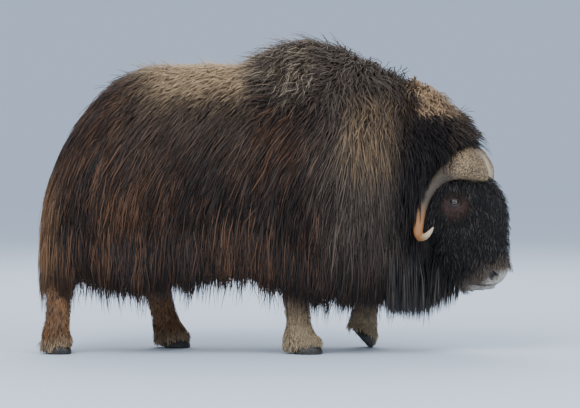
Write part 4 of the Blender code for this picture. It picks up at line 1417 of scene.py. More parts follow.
        def shape(u: Array, v: Array) -> Array:
            """Gives the ear's places.

            Args:
                u: Shares along it.
                v: Shares round it.

            Returns:
                The places.
            """
            root_share = self.ear_outline[0][0]
            t = root_share + (1 - root_share) * u
            share = curve(self.ear_outline, t) * closing(u, 0.03)
            half = self.ear_width / 2 * share
            thick = (0.010 + 0.008 * (1 - np.abs(t))) * np.minimum(1, share * 3)
            angle = v * math.tau
            return (root + along * (length * t)[:, None] + across * (half * np.cos(angle))[:, None]
                    + front * (thick * np.sin(angle))[:, None])

        middle = root + along * length * 0.5 + front * self.ear_cup
        turn = Matrix(np.stack([across, along, front], axis=1).tolist())
        cup = ball("cup", middle, (self.ear_width * 0.33, length * 0.40, self.ear_cup), turn=turn)
        ear = tube("ear", shape, rows=40, sides=24)
        combine(ear, cup, "DIFFERENCE")
        return ear

    def open_lids(self, head: bpy.types.Object, side: Side) -> None:
        """Cuts the slit between the lids, and the room for the eyeball.

        Args:
            head: The head.
            side: Which eye.
        """
        place, gaze = EYE_PLACE * side.flip, unit(EYE_GAZE * side.flip)
        turn = Vector(gaze).to_track_quat("Z", "Y").to_matrix()
        front = place + gaze * (EYE_RADIUS + self.lid)
        slit = ball("slit", front, self.slit, turn=turn, segments=40, rings=24)
        combine(head, slit, "DIFFERENCE")
        room = ball("room", place, (EYE_RADIUS + self.play,) * 3, segments=48, rings=32)
        combine(head, room, "DIFFERENCE")

    def open_nostril(self, head: bpy.types.Object, side: Side) -> None:
        """Cuts one nostril, a slanted hollow that widens at its lower end.

        Args:
            head: The head.
            side: Which nostril.
        """
        place = np.array(self.nostril) * side.flip
        out = unit(np.array([0.62, place[1] * 12, -0.25]))
        tree = BVHTree.FromObject(head, bpy.context.evaluated_depsgraph_get())
        middle = np.array(tree.ray_cast(Vector(place + out * 0.2), Vector(-out))[0])
        long = np.array(self.nostril_slant)
        long = unit(long - out * long.dot(out))
        turn = Matrix(np.stack([np.cross(long, out), long, out], axis=1).tolist())
        combine(head, ball("hole", middle, self.nostril_slit, turn=turn), "DIFFERENCE")
        middle = middle + long * self.wing_drop
        combine(head, ball("hole", middle, self.nostril_wing, turn=turn), "DIFFERENCE")

    def build(self) -> bpy.types.Object:
        """Makes the head, turned to its place.

        Returns:
            The head.
        """
        head = self.core()
        lips, mouth_line = self.lips(head)
        masses = list(lips)
        for side in Side:
            place, gaze = EYE_PLACE * side.flip, unit(EYE_GAZE * side.flip)
            combine(head, ball("pit", place + gaze * self.pit_depth, self.pit), "DIFFERENCE")
            masses.append(ball("lids", place, (EYE_RADIUS + self.lid,) * 3, segments=40, rings=28))
            masses.append(self.ear(side))
        fused(head, masses, voxel=0.0029, smooth=3)
        finish_modifier(head, "DECIMATE", ratio=0.50)
        combine(head, mouth_line, "DIFFERENCE")
        for side in Side:
            self.open_lids(head, side)
        for side in Side:
            self.open_nostril(head, side)
        set_points(head, turned_with_head(points_of(head)))
        return head


@dataclass
class Horn:
    """One horn: the broad boss on the forehead, then the shaft down, out and up."""

    side: Side
    rows: tuple[tuple[Colour, float, float], ...] = (
        ((0.204, -0.006, 0.836), 0.084, 0.032), ((0.205, -0.032, 0.838), 0.093, 0.046),
        ((0.192, -0.076, 0.838), 0.086, 0.050), ((0.158, -0.120, 0.829), 0.063, 0.044),
        ((0.108, -0.154, 0.800), 0.038, 0.034), ((0.066, -0.175, 0.760), 0.0275, 0.027),
        ((0.036, -0.195, 0.714), 0.0245, 0.0245), ((0.018, -0.215, 0.660), 0.0230, 0.0225),
        ((0.011, -0.236, 0.602), 0.0222, 0.0210), ((0.012, -0.258, 0.551), 0.0210, 0.0195),
        ((0.032, -0.277, 0.521), 0.0185, 0.0175), ((0.059, -0.292, 0.529), 0.0140, 0.0135),
        ((0.082, -0.303, 0.548), 0.0092, 0.0088), ((0.100, -0.311, 0.571), 0.0024, 0.0024),
    )
    boss_rows: int = 6
    forehead_down: Colour = (0.578, 0.0, -0.816)
    marks: int = 400

    def frames(self) -> Array:
        """Works out the horn's rows.

        Returns:
            Each row's place, its flat way, its outward way, and its two half sizes.
        """
        places = np.array([row[0] for row in self.rows])
        flat = np.array(self.forehead_down)
        table = []
        for i, (place, wide, thick) in enumerate(self.rows):
            along = unit(places[min(i + 1, len(places) - 1)] - places[max(i - 1, 0)])
            flat = np.array(self.forehead_down) if i < self.boss_rows else flat
            flat = unit(flat - along * flat.dot(along))
            table.append([*place, *flat, *unit(np.cross(flat, along)), wide, thick])
        return np.array(table)

    def build(self, name: str) -> bpy.types.Object:
        """Makes the horn.

        Args:
            name: Its name.

        Returns:
            The horn, with how far round and how far along each place is.
        """
        table = self.frames()
        last = len(table) - 1

        def shape(u: Array, v: Array) -> Array:
            """Gives the horn's places.

            Args:
                u: Shares along it.
                v: Shares round it.

            Returns:
                The places.
            """
            cap = 0.02
            s = np.clip((u - cap) / (1 - cap), 0, 1) * last
            value = read_rows(table, s)
            angle = v * math.tau
            c, sn = np.cos(angle), np.sin(angle)
            size = np.minimum(u / cap, 1.0) * np.minimum((1 - u) / 0.004, 1.0)
            flat, up = unit(value[:, 3:6]), unit(value[:, 6:9])
            rings = np.sin(s * 23.0 + 2 * drift(value[:, :3], 30.0, 5))
            growth = 1 + 0.012 * rings * ease(s, 3.0, 6.0) * ease(s, 13, 11)
            bumps = drift(np.stack([c * 1.4, sn * 1.4, s * 0.5], axis=1), 2.2, 9)
            size = size * growth * (1 + 0.05 * bumps * ease(s, 8.0, 3.0))
            place = (value[:, :3] + flat * (value[:, 9] * np.sign(c) * np.abs(c) ** 0.85 * size)[:, None]
                     + up * (value[:, 10] * sn * size)[:, None])
            return place * self.side.flip

        obj = tube(name, shape, rows=220, sides=72)
        points = points_of(obj)
        own = points * self.side.flip
        value = read_rows(table, np.linspace(0, last, self.marks))
        tree = KDTree(self.marks)
        for i, row in enumerate(value):
            tree.insert(row[:3], i)
        tree.balance()
        nearest = np.array([tree.find(p)[1] for p in own.tolist()])
        row = value[nearest]
        arm = own - row[:, :3]
        turn = np.arctan2((arm * row[:, 6:9]).sum(1), (arm * row[:, 3:6]).sum(1))
        store(obj, "run", np.stack([np.cos(turn) * 0.5, nearest / self.marks, np.sin(turn) * 0.5], axis=1))
        set_points(obj, turned_with_head(points))
        obj.data.shade_smooth()
        return obj


@dataclass
class Eye:
    """One eyeball."""

    side: Side

    def build(self, name: str) -> bpy.types.Object:
        """Makes the eyeball.

        Args:
            name: Its name.

        Returns:
            The eyeball, with where each place is in its own look.
        """
        place, gaze = EYE_PLACE * self.side.flip, unit(EYE_GAZE * self.side.flip)
        obj = ball(name, place, (EYE_RADIUS - 0.0002,) * 3, segments=64, rings=40)
        points = points_of(obj)
        level = unit(np.cross(np.array([0, 0, 1.0]), gaze))
        upright = np.cross(gaze, level)
        arm = (points - place) / EYE_RADIUS
        facing = np.stack([arm @ level, arm @ upright, arm @ gaze], axis=1)
        facing[:, :2] += np.where(facing[:, 2:] < 0, 2.0, 0.0)
        store(obj, "gaze", facing)
        set_points(obj, turned_with_head(points))
        obj.data.shade_smooth()
        return obj


@dataclass
class Claw:
    """One claw of a foot."""

    foot: Foot
    side: Side
    height: float = 0.046
    cleft: float = 0.010
    rise: Line = ((0.0, 1.0), (0.12, 1.025), (0.3, 1.02), (1.0, 0.84))
    lean: Line = ((0.0, 0.0), (0.3, 0.001), (1.0, 0.012))
    round_share: float = 0.7
    sink: float = 0.006
    lowest: float = 0.0003

    def build(self, name: str) -> bpy.types.Object:
        """Makes the claw, flat underneath, straight at the cleft and round at the toe.

        Args:
            name: Its name.

        Returns:
            The claw.
        """
        length = self.foot.length
        wide = self.foot.width / 2 - self.cleft / 2

        def shape(u: Array, v: Array) -> Array:
            """Gives the claw's places.

            Args:
                u: Shares up it.
                v: Shares round it.

            Returns:
                The places.
            """
            cap, bend = 0.12, self.round_share
            t, inwards = between_caps(u, cap), closing(u, cap)
            angle = np.where(v < bend, v / bend * math.pi, 0.0)
            straight = np.clip((v - bend) / (1 - bend), 0, 1)
            x = np.where(v < bend, np.cos(angle), -1 + 2 * straight) * length / 2
            y = np.where(v < bend, np.sin(angle) ** 0.75, 0.0) * wide
            size = curve(self.rise, t)
            edge = 1 - 0.03 * (t < 0.02)
            x = x * size * inwards * edge - curve(self.lean, t)
            y = (0.45 * wide + (y - 0.45 * wide) * inwards) * size * edge
            z = self.height * t * (1 - 0.25 * ease(x, 0.01, -0.01))
            return np.stack([x, (self.cleft / 2 + y) * self.side.value, z], axis=1)

        obj = tube(name, shape, rows=30, sides=64)
        points = (points_of(obj) - (length / 2, 0, 0)) @ self.foot.turn.T + self.foot.toe
        points[:, 0] += SHIFT_X
        if self.foot.tip:
            points[:, 2] = np.maximum(points[:, 2] - self.sink, self.lowest)
        set_points(obj, points)
        obj.data.shade_smooth()
        return obj


FEET: dict[str, Foot] = {
    "right_fore": Foot((0.160, -0.166, 0.0), 0.125, 0.128),
    "left_fore": Foot((0.385, 0.166, 0.0), 0.120, 0.124, math.radians(47)),
    "right_hind": Foot((-0.945, -0.166, 0.0), 0.108, 0.108),
    "left_hind": Foot((-0.432, 0.166, 0.0), 0.116, 0.108),
}

LEGS: dict[str, tuple[tuple[Colour, float, float], ...]] = {
    "right_fore": (
        ((0.100, -0.185, 0.62), 0.105, 0.080), ((0.100, -0.180, 0.48), 0.080, 0.062),
        ((0.104, -0.172, 0.36), 0.064, 0.052), ((0.107, -0.168, 0.24), 0.055, 0.046),
        ((0.116, -0.166, 0.15), 0.048, 0.044), ((0.120, -0.166, 0.095), 0.058, 0.052),
        ((0.140, -0.166, 0.048), 0.070, 0.057),
    ),
    "left_fore": (
        ((0.320, 0.185, 0.62), 0.105, 0.080), ((0.375, 0.180, 0.48), 0.082, 0.062),
        ((0.425, 0.172, 0.36), 0.066, 0.053), ((0.437, 0.168, 0.26), 0.058, 0.048),
        ((0.425, 0.166, 0.185), 0.050, 0.045), ((0.412, 0.166, 0.135), 0.056, 0.052),
        ((0.407, 0.166, 0.088), 0.060, 0.056),
    ),
    "right_hind": (
        ((-0.780, -0.130, 0.64), 0.120, 0.070), ((-0.845, -0.130, 0.50), 0.085, 0.055),
        ((-0.915, -0.138, 0.37), 0.060, 0.044), ((-0.942, -0.155, 0.27), 0.052, 0.040),
        ((-0.950, -0.166, 0.17), 0.049, 0.042), ((-0.957, -0.166, 0.105), 0.053, 0.047),
        ((-0.950, -0.166, 0.050), 0.058, 0.050),
    ),
    "left_hind": (
        ((-0.640, 0.185, 0.64), 0.135, 0.090), ((-0.610, 0.180, 0.50), 0.098, 0.070),
        ((-0.565, 0.172, 0.37), 0.070, 0.052), ((-0.527, 0.168, 0.27), 0.056, 0.044),
        ((-0.498, 0.166, 0.175), 0.052, 0.042), ((-0.478, 0.166, 0.105), 0.056, 0.047),
        ((-0.452, 0.166, 0.050), 0.066, 0.050),
    ),
}


@dataclass
class Coat:
    """All the hair, grown from the body through the coat's outline.

    hem is how far over the tips the flank's hair reaches down to them, sink is how deep its roots
    are under the body, wisp_share is how much of it hangs lower than the rest, and wisp_rise is how
    far the hump's hair may stand up.
    """

    trunk: Trunk
    outline: Surface
    body: Surface
    seed: int = 7
    hem: float = 0.50
    sink: float = 0.012
    wisp_share: float = 0.12
    wisp_rise: float = 0.055

    def draw(self, salt: int) -> np.random.Generator:
        """A seeded draw of its own for each kind of hair."""
        return np.random.default_rng(self.seed * 1000 + salt)

    def lay(self, place: Array, normal: Array, length: Array, depths: Array, reach: Sequence[float],
            sway: Array, waves: Array) -> tuple[Array, Array]:
        """Lays hair along the coat's outline.

        Args:
            place: Where each tuft starts on the outline.
            normal: The outline's normals there.
            length: Each tuft's length.
            depths: How far under the outline each place along it is.
            reach: The share of the length at each place along it.
            sway: How far it turns from the lie, at each place along it.
            waves: How far it stands to one side, at each place along it.

        Returns:
            The paths and the way each ridge faces.
        """
        path, facing = [], []
        for i in range(len(reach)):
            way = self.trunk.lie(place, normal)
            across = np.cross(way, normal)
            path.append(place - normal * depths[:, i:i + 1] + across * waves[:, i:i + 1])
            facing.append(normal)
            if i + 1 < len(reach):
                way = unit(way + across * sway[:, i:i + 1])
                step = ((reach[i + 1] - reach[i]) * length)[:, None]
                place, new_normal = self.outline.nearest(place + way * step)
                normal = unit(normal + 2 * new_normal)
        return np.stack(path, axis=1), np.stack(facing, axis=1)

    def locks(self, place: Array, normal: Array) -> tuple[Array, Array]:
        """How the hair gathers into locks.

        Args:
            place: Where each tuft starts.
            normal: The outline's normals there.

        Returns:
            How deep between two locks each tuft is, and how far it leans to the lock's middle.
        """
        step, pull, most = 0.004, 0.00034, 0.015
        across = np.cross(self.trunk.lie(place, normal), normal)
        spots = [(place + across * shift) * (1, 1, 0.16) for shift in (-step, 0.0, step)]
        before, here, after = (drift(spot, 21.0, 17) + 0.6 * drift(spot, 43.0, 18) for spot in spots)
        return here, np.clip((before - after) / (2 * step) * pull, -most, most)

    def long_hair(self, count: int, first: float, last: float, salt: int) -> Tufts:
        """The long guard hair of the flanks between two places along the body.

        Args:
            count: How many tufts.
            first: Where it starts.
            last: Where it ends.
            salt: Which draw.

        Returns:
            The tufts.
        """
        rng = self.draw(salt)

        def weight(p: Array) -> Array:
            """How dense the hair is.

            Args:
                p: Places on the outline.

            Returns:
                One number for each place.
            """
            inside = (p[:, 0] > first - 0.02) & (p[:, 0] < last + 0.02)
            low = curve(self.trunk.belly, p[:, 0]) + 0.05
            behind = (seen_from_head(p)[:, 0] < -0.045) | (p[:, 2] > 0.98)
            return inside * behind * (p[:, 2] > low) * (1.0 + 1.6 * ease(p[:, 2], low + 0.30, low + 0.02))

        place, normal = self.outline.sample(count, rng, weight)
        x, z = place[:, 0], place[:, 2]
        fringe = 0.022 * drift(place * (1, 1, 0.2), 9.0, 21)
        room = z - curve(self.trunk.tips, x) + fringe
        free = 0.13 + 0.17 * ease(z, 1.28, 0.85) * rng.uniform(0.6, 1.15, count)
        free = free * (1 - 0.35 * ease(z, 1.15, 1.28))
        free = free * (1 - 0.55 * ease(seen_from_head(place)[:, 0], -0.10, -0.02))
        wisp = rng.random(count) < self.wisp_share
        hang = room * rng.uniform(0.74, 0.98, count) + wisp * rng.uniform(0.0, 0.115, count)
        clump = drift(place * (1, 1, 0.35), 26.0, 3)
        ridge, gather = self.locks(place, normal)
        buried = rng.random(count)
        layer = 0.003 + 0.014 * buried + 0.010 * (1 - drift(place * (1, 1, 0.25), 13.0, 11)) + 0.007 * ridge
        layer -= 0.010 * (rng.random(count) < 0.05)
        length = np.where(room < self.hem, hang - 0.026 * ridge, free)
        reach = (0.0, 0.14, 0.40, 0.70, 1.0)
        root = np.full(count, self.trunk.depth + self.sink)
        depths = np.stack([root, layer + 0.020, layer + 0.008, layer + 0.003, layer * 0.8], axis=1)
        bend = rng.normal(0, 0.13, (count, 1)) + 0.24 * clump[:, None]
        sway = bend * np.array([1.0, 0.9, 0.1, -0.5, -0.6]) + rng.normal(0, 0.10, (count, 5))
        waves = gather[:, None] * np.array([0.0, 0.1, 0.45, 0.8, 1.0]) + rng.normal(0, 0.003, (count, 5))
        path, facing = self.lay(place, normal, length, depths, reach, sway, waves)
        width = rng.uniform(0.0032, 0.0078, count) * (0.8 + 0.5 * ease(length, 0.1, 0.35))
        tufts = Tufts()
        tufts.add(path, facing, width, place, Zone.TRUNK, rng, ridge=0.33)
        return tufts

    def woolly_hair(self, count: int, salt: int) -> Tufts:
        """The shorter, waved hair over the hump and the saddle, with wisps that stand up.

        Args:
            count: How many tufts.
            salt: Which draw.

        Returns:
            The tufts.
        """
        rng = self.draw(salt)

        def weight(p: Array) -> Array:
            """How dense the hair is.

            Args:
                p: Places on the outline.

            Returns:
                One number for each place.
            """
            high = curve(self.trunk.back, p[:, 0] - SHIFT_X) - p[:, 2]
            hump = ease(p[:, 0], -0.14, 0.0) * ease(p[:, 0], 0.90, 0.84)
            saddle = ease(p[:, 0], -0.80, -0.60) * ease(p[:, 0], 0.0, -0.12)
            return hump * ease(high, 0.34, 0.16) * 1.3 + saddle * ease(high, 0.26, 0.10) * 1.0

        place, normal = self.outline.sample(count, rng, weight)
        x = place[:, 0]
        hump = ease(x, -0.14, 0.0)
        nape = ease(x, 0.62, 0.68)
        length = rng.uniform(0.055, 0.090, count) + hump * rng.uniform(0.01, 0.075, count)
        length = length * (1 - 0.5 * nape)
        layer = 0.002 + 0.012 * rng.random(count) + 0.008 * drift(place, 30.0, 4)
        stands = (rng.random(count) < 0.10 + 0.20 * hump) * rng.uniform(0.3, 1.0, count) * (1 - 0.9 * nape)
        upright = 0.15 + 0.85 * ease(normal[:, 2], 0.30, 0.75)
        rise = np.minimum(stands * length * 0.62, self.wisp_rise) * upright
        root = np.full(count, self.trunk.depth + 0.010)
        depths = np.stack([root, layer + 0.014, layer + 0.002 - rise * 0.3, layer - 0.001 - rise * 0.7,
                           layer - rise], axis=1)
        turn = 1.1 * drift(place, 13.0, 6) + 0.6 * drift(place, 30.0, 8)
        turn = turn * (0.25 + 0.75 * hump) * (1 - 0.7 * nape)
        sway = turn[:, None] * np.array([1.0, 1.0, 0.8, 0.5, 0.3]) + rng.normal(0, 0.16, (count, 5))
        phase = rng.random((count, 1)) * math.tau
        swing = np.sin(phase + np.arange(5) * 1.9) * np.array([0, 0.6, 1.0, 1.0, 0.8])
        reach = (0.0, 0.2, 0.46, 0.74, 1.0)
        path, facing = self.lay(place, normal, length, depths, reach, sway, 0.008 * hump[:, None] * swing)
        tufts = Tufts()
        tufts.add(path, facing, rng.uniform(0.0032, 0.0068, count), place, Zone.TRUNK, rng)
        return tufts

    def hanging(self, start: Array, way: Array, length: Array, zone: Zone, width: tuple[float, float],
                rng: np.random.Generator, steps: int = 5, droop: float = 0.5) -> Tufts:
        """Makes hair that leaves its root one way and bends down under its weight.

        Args:
            start: Where each tuft grows.
            way: The way in which it leaves its root.
            length: Its length.
            zone: What it grows on.
            width: The least and the greatest width.
            rng: The draw.
            steps: Places along it.
            droop: How quickly it bends down.

        Returns:
            The tufts.
        """
        count = len(start)
        way = unit(way)
        outwards = unit(way * (1, 1, 0) + 1e-6)
        place, path = start.copy(), [start - way * 0.02]
        clump = drift(start * (1, 1, 0.3), 24.0, 13)[:, None]
        lean = rng.normal(0, 0.07, (count, 2)) + 0.12 * clump
        lean = np.concatenate([lean, np.zeros((count, 1))], axis=1)
        for i in range(steps - 1):
            path.append(place.copy())
            way = unit(way + lean * (1.0 if i < 2 else -0.5) + np.array([0, 0, -droop]))
            place = place + way * (length / (steps - 1))[:, None]
        path.append(place)
        path = np.stack(path, axis=1)
        facing = np.repeat(outwards[:, None], path.shape[1], axis=1)
        tufts = Tufts()
        tufts.add(path, facing, rng.uniform(*width, count), start, zone, rng)
        return tufts

    def throat_hair(self, count: int, salt: int) -> Tufts:
        """The curtain of mane across the chest and under the neck.

        Args:
            count: How many tufts.
            salt: Which draw.

        Returns:
            The tufts.
        """
        rng = self.draw(salt)
        x = rng.uniform(0.30, 0.72, count)
        y = rng.uniform(-0.20, 0.20, count)
        x = np.minimum(x, 0.62 + 0.6 * y)
        start = np.stack([x, y, 0.47 + 0.10 * rng.random(count)], axis=1)
        way = np.stack([0.05 + 0 * x, 0.25 * y, -np.ones(count)], axis=1)
        length = start[:, 2] - curve(self.trunk.tips, x) + rng.uniform(-0.06, 0.015, count)
        return self.hanging(start, way, length, Zone.TRUNK, (0.006, 0.012), rng)

    def short_hair(self, place: Array, normal: Array, flow: Array, length: Array, lift: Array, zone: Zone,
                   width: tuple[float, float], rng: np.random.Generator) -> Tufts:
        """Makes short hair that lies close on the skin.

        Args:
            place: Where each tuft grows.
            normal: The skin's normals there.
            flow: The way in which it points, before it is laid on the skin.
            length: Its length.
            lift: How far it stands off the skin.
            zone: What it grows on.
            width: The least and the greatest width.
            rng: The draw.

        Returns:
            The tufts.
        """
        count = len(place)
        flow = unit(flow - normal * (flow * normal).sum(1, keepdims=True))
        flow = unit(flow + np.cross(normal, flow) * rng.normal(0, 0.22, (count, 1)))
        length, lift = length[:, None], lift[:, None]
        path = np.stack([
            place - normal * 0.003,
            place + flow * length * 0.38 + normal * lift * 0.75,
            place + flow * length * 0.74 + normal * lift,
            place + flow * length + normal * lift * 0.8,
        ], axis=1)
        facing = np.repeat(normal[:, None], 4, axis=1)
        tufts = Tufts()
        tufts.add(path, facing, rng.uniform(*width, count), place, zone, rng)
        return tufts

    def face_hair(self, count: int, salt: int) -> Tufts:
        """Short hair on the face, longer on the forehead and the cheeks.

        Args:
            count: How many tufts.
            salt: Which draw.

        Returns:
            The tufts.
        """
        rng = self.draw(salt)

        def weight(p: Array) -> Array:
            """How dense the hair is.

            Args:
                p: Places on the skin.

            Returns:
                One number for each place.
            """
            q, gap = seen_from_head(p), eye_gap(seen_from_head(p))
            ahead = (q[:, 0] > -0.12) & (q[:, 2] > 0.27) & (q[:, 2] < 1.06) & (np.abs(q[:, 1]) < 0.20)
            nose = (q[:, 0] > 0.262) & (q[:, 2] < 0.388) & (q[:, 2] > 0.30)
            return ahead * (gap > 0.034) * (1 - nose) * (p[:, 0] > 0.56) * (1 + 0.5 * (gap < 0.09))

        place, normal = self.body.sample(count, rng, weight)
        q = seen_from_head(place)
        back = 0.10 - 0.5 * ease(q[:, 0], 0.16, 0.04)
        flow = np.stack([back, 0.25 * np.sign(q[:, 1]), -np.ones(count)], axis=1)
        flow[:, 1] += 0.5 * drift(place, 22.0, 31)
        flow[:, 0] += 0.5 * drift(place, 22.0, 32)
        turned = turned_with_head(flow) - HEAD_PIVOT
        shag = 1.3 * ease(q[:, 0], 0.10, -0.04)
        shag = shag + 0.5 * ease(q[:, 2], 0.72, 0.79) + 0.5 * ease(q[:, 2], 0.50, 0.40)
        muzzle = ease(q[:, 2] - 0.35 * (q[:, 0] - 0.30), 0.40, 0.33) * ease(q[:, 0], 0.12, 0.20)
        clear = ease(eye_gap(q), 0.034, 0.075)
        length = rng.uniform(0.020, 0.042, count) * (1 - 0.66 * muzzle) * (1 + shag * (1 - muzzle))
        length = length * (0.35 + 0.65 * clear)
        lift = length * rng.uniform(0.12, 0.46, count) * (1 - 0.5 * muzzle) * (0.3 + 0.7 * clear)
        return self.short_hair(place, normal, turned, length, lift, Zone.HEAD, (0.0024, 0.0048), rng)

    def leg_hair(self, count: int, salt: int) -> Tufts:
        """Short hair on the legs, longer behind the fetlocks and over the hooves.

        Args:
            count: How many tufts.
            salt: Which draw.

        Returns:
            The tufts.
        """
        rng = self.draw(salt)

        def weight(p: Array) -> Array:
            """How dense the hair is at these places."""
            high = curve(self.trunk.tips, p[:, 0]) + 0.10
            return (p[:, 2] < high) * (p[:, 2] > 0.016) * (p[:, 0] < 0.56) * (1 + 1.2 * (p[:, 2] < 0.12))

        place, normal = self.body.sample(count, rng, weight)
        down = np.tile((0.0, 0.0, -1.0), (count, 1))
        shag = ease(place[:, 2], 0.13, 0.05) * ease(normal[:, 0], 0.2, -0.6)
        length = rng.uniform(0.016, 0.030, count) * (1 + 1.0 * shag)
        length = np.minimum(length, np.maximum(place[:, 2] - LOWEST_HAIR, 0.008) * 1.2)
        lift = length * rng.uniform(0.12, 0.30, count) + 0.008 * shag
        return self.short_hair(place, normal, down, length, lift, Zone.LEG, (0.003, 0.0055), rng)

    def beard(self, count: int, salt: int) -> Tufts:
        """The beard that hangs from the jaw, the cheeks and the throat.

        Args:
            count: How many tufts.
            salt: Which draw.

        Returns:
            The tufts.
        """
        rng = self.draw(salt)

        def weight(p: Array) -> Array:
            """How dense the hair is.

            Args:
                p: Places on the skin.

            Returns:
                One number for each place.
            """
            q = seen_from_head(p)
            edge = 0.33 + 1.25 * np.clip(0.12 - q[:, 0], 0, 1)
            inside = (q[:, 0] > -0.13) & (q[:, 0] < 0.125) & (q[:, 2] < edge) & (p[:, 0] > 0.54)
            return inside * (q[:, 2] > 0.27) * (1 + 2.5 * (np.abs(q[:, 1]) > 0.05))

        place, normal = self.body.sample(count, rng, weight)
        q = seen_from_head(place)
        way = normal * (1, 1, 0) * 0.40 + np.array([-0.10, 0.0, -0.9])
        tips = BEARD_TIP - 0.01 + 0.07 * ease(q[:, 0], 0.03, 0.13)
        tips = tips + 0.03 * drift(place * (1, 1, 0.2), 20.0, 41)
        length = (place[:, 2] - tips) * rng.uniform(0.50, 1.04, count)
        return self.hanging(place, way, length, Zone.HEAD, (0.005, 0.010), rng)

    def crown(self, count: int, salt: int) -> Tufts:
        """The dark tuft over the boss and the hair behind the horns.

        Args:
            count: How many tufts.
            salt: Which draw.

        Returns:
            The tufts.
        """
        rng = self.draw(salt)

        def weight(p: Array) -> Array:
            """How dense the hair is.

            Args:
                p: Places on the skin.

            Returns:
                One number for each place.
            """
            q = seen_from_head(p)
            top = (q[:, 2] > 0.90) & (q[:, 0] < 0.16)
            behind = (q[:, 0] < 0.03) & (q[:, 2] > 0.50) & (np.abs(q[:, 1]) > 0.06)
            return (top * 1.6 + behind * 1.0) * (p[:, 0] > 0.58) * (q[:, 2] < 1.06)

        place, normal = self.body.sample(count, rng, weight)
        q = seen_from_head(place)
        top = ease(q[:, 2], 0.88, 0.96)
        way = np.stack([0.65 * top - 0.30, 2.0 * q[:, 1] * top, 0.10 * top - 0.7 * (1 - top)], axis=1)
        length = rng.uniform(0.045, 0.100, count) * (1 + 0.9 * (1 - top))
        way = normal * 0.55 + way
        return self.hanging(place, way, length, Zone.TRUNK, (0.004, 0.008), rng, droop=0.30)


def mark_skin(skin: bpy.types.Object) -> None:
    """Stores on the skin what the markings read.

    Args:
        skin: The finished skin.
    """
    points = points_of(skin)
    own = seen_from_head(points)
    head = ease(points[:, 0], 0.60, 0.68) * (np.abs(own[:, 1]) < 0.3)
    leg = (points[:, 2] < 0.43) * (points[:, 0] < 0.57)
    lids = ease(eye_gap(own), 0.0290, 0.0262)
    from_hole = own * (1, 0, 1) + np.abs(own) * (0, 1, 0) - NOSTRIL_MIDDLE
    along = from_hole @ unit(np.array(Head.nostril_slant))
    beside = np.linalg.norm(from_hole, axis=1) ** 2 - along ** 2
    half_length, half_width = 0.036, 0.0225
    nostrils = ease(np.sqrt((along / half_length) ** 2 + beside / half_width ** 2), 1.05, 0.85)
    mouth_height = 0.301 + 0.10 * np.maximum(0.25 - own[:, 0], 0)
    from_mouth = np.abs(own[:, 2] - mouth_height)
    mouth = ease(from_mouth, 0.0035, 0.001) * ease(own[:, 0], 0.17, 0.20)
    strand = np.stack([0.45 + 0.1 * drift(points, 40.0, 2), np.full(len(points), 0.3),
                       np.full(len(points), 0.5)], axis=1)
    store(skin, "root", points)
    store(skin, "strand", strand)
    store(skin, "zone", np.stack([head, leg, np.maximum(np.maximum(lids, nostrils), mouth)], axis=1))
    skin.data.shade_smooth()


def dress(obj: bpy.types.Object, material: bpy.types.Material, slot: str, *nodes: str) -> None:
    """Gives a piece its material and its body, and hides the nodes it stands for.

    Args:
        obj: The piece.
        material: Its finish.
        slot: Its slot's name; not used.
        *nodes: The CAD nodes it replaces, if any.
    """
    obj.data.materials.clear()
    obj.data.materials.append(material)
    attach(obj, "root")
    if nodes:
        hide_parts(*nodes)
    obj.data.calc_loop_triangles()
    LOG.info("%s: %d triangles", obj.name, len(obj.data.loop_triangles))


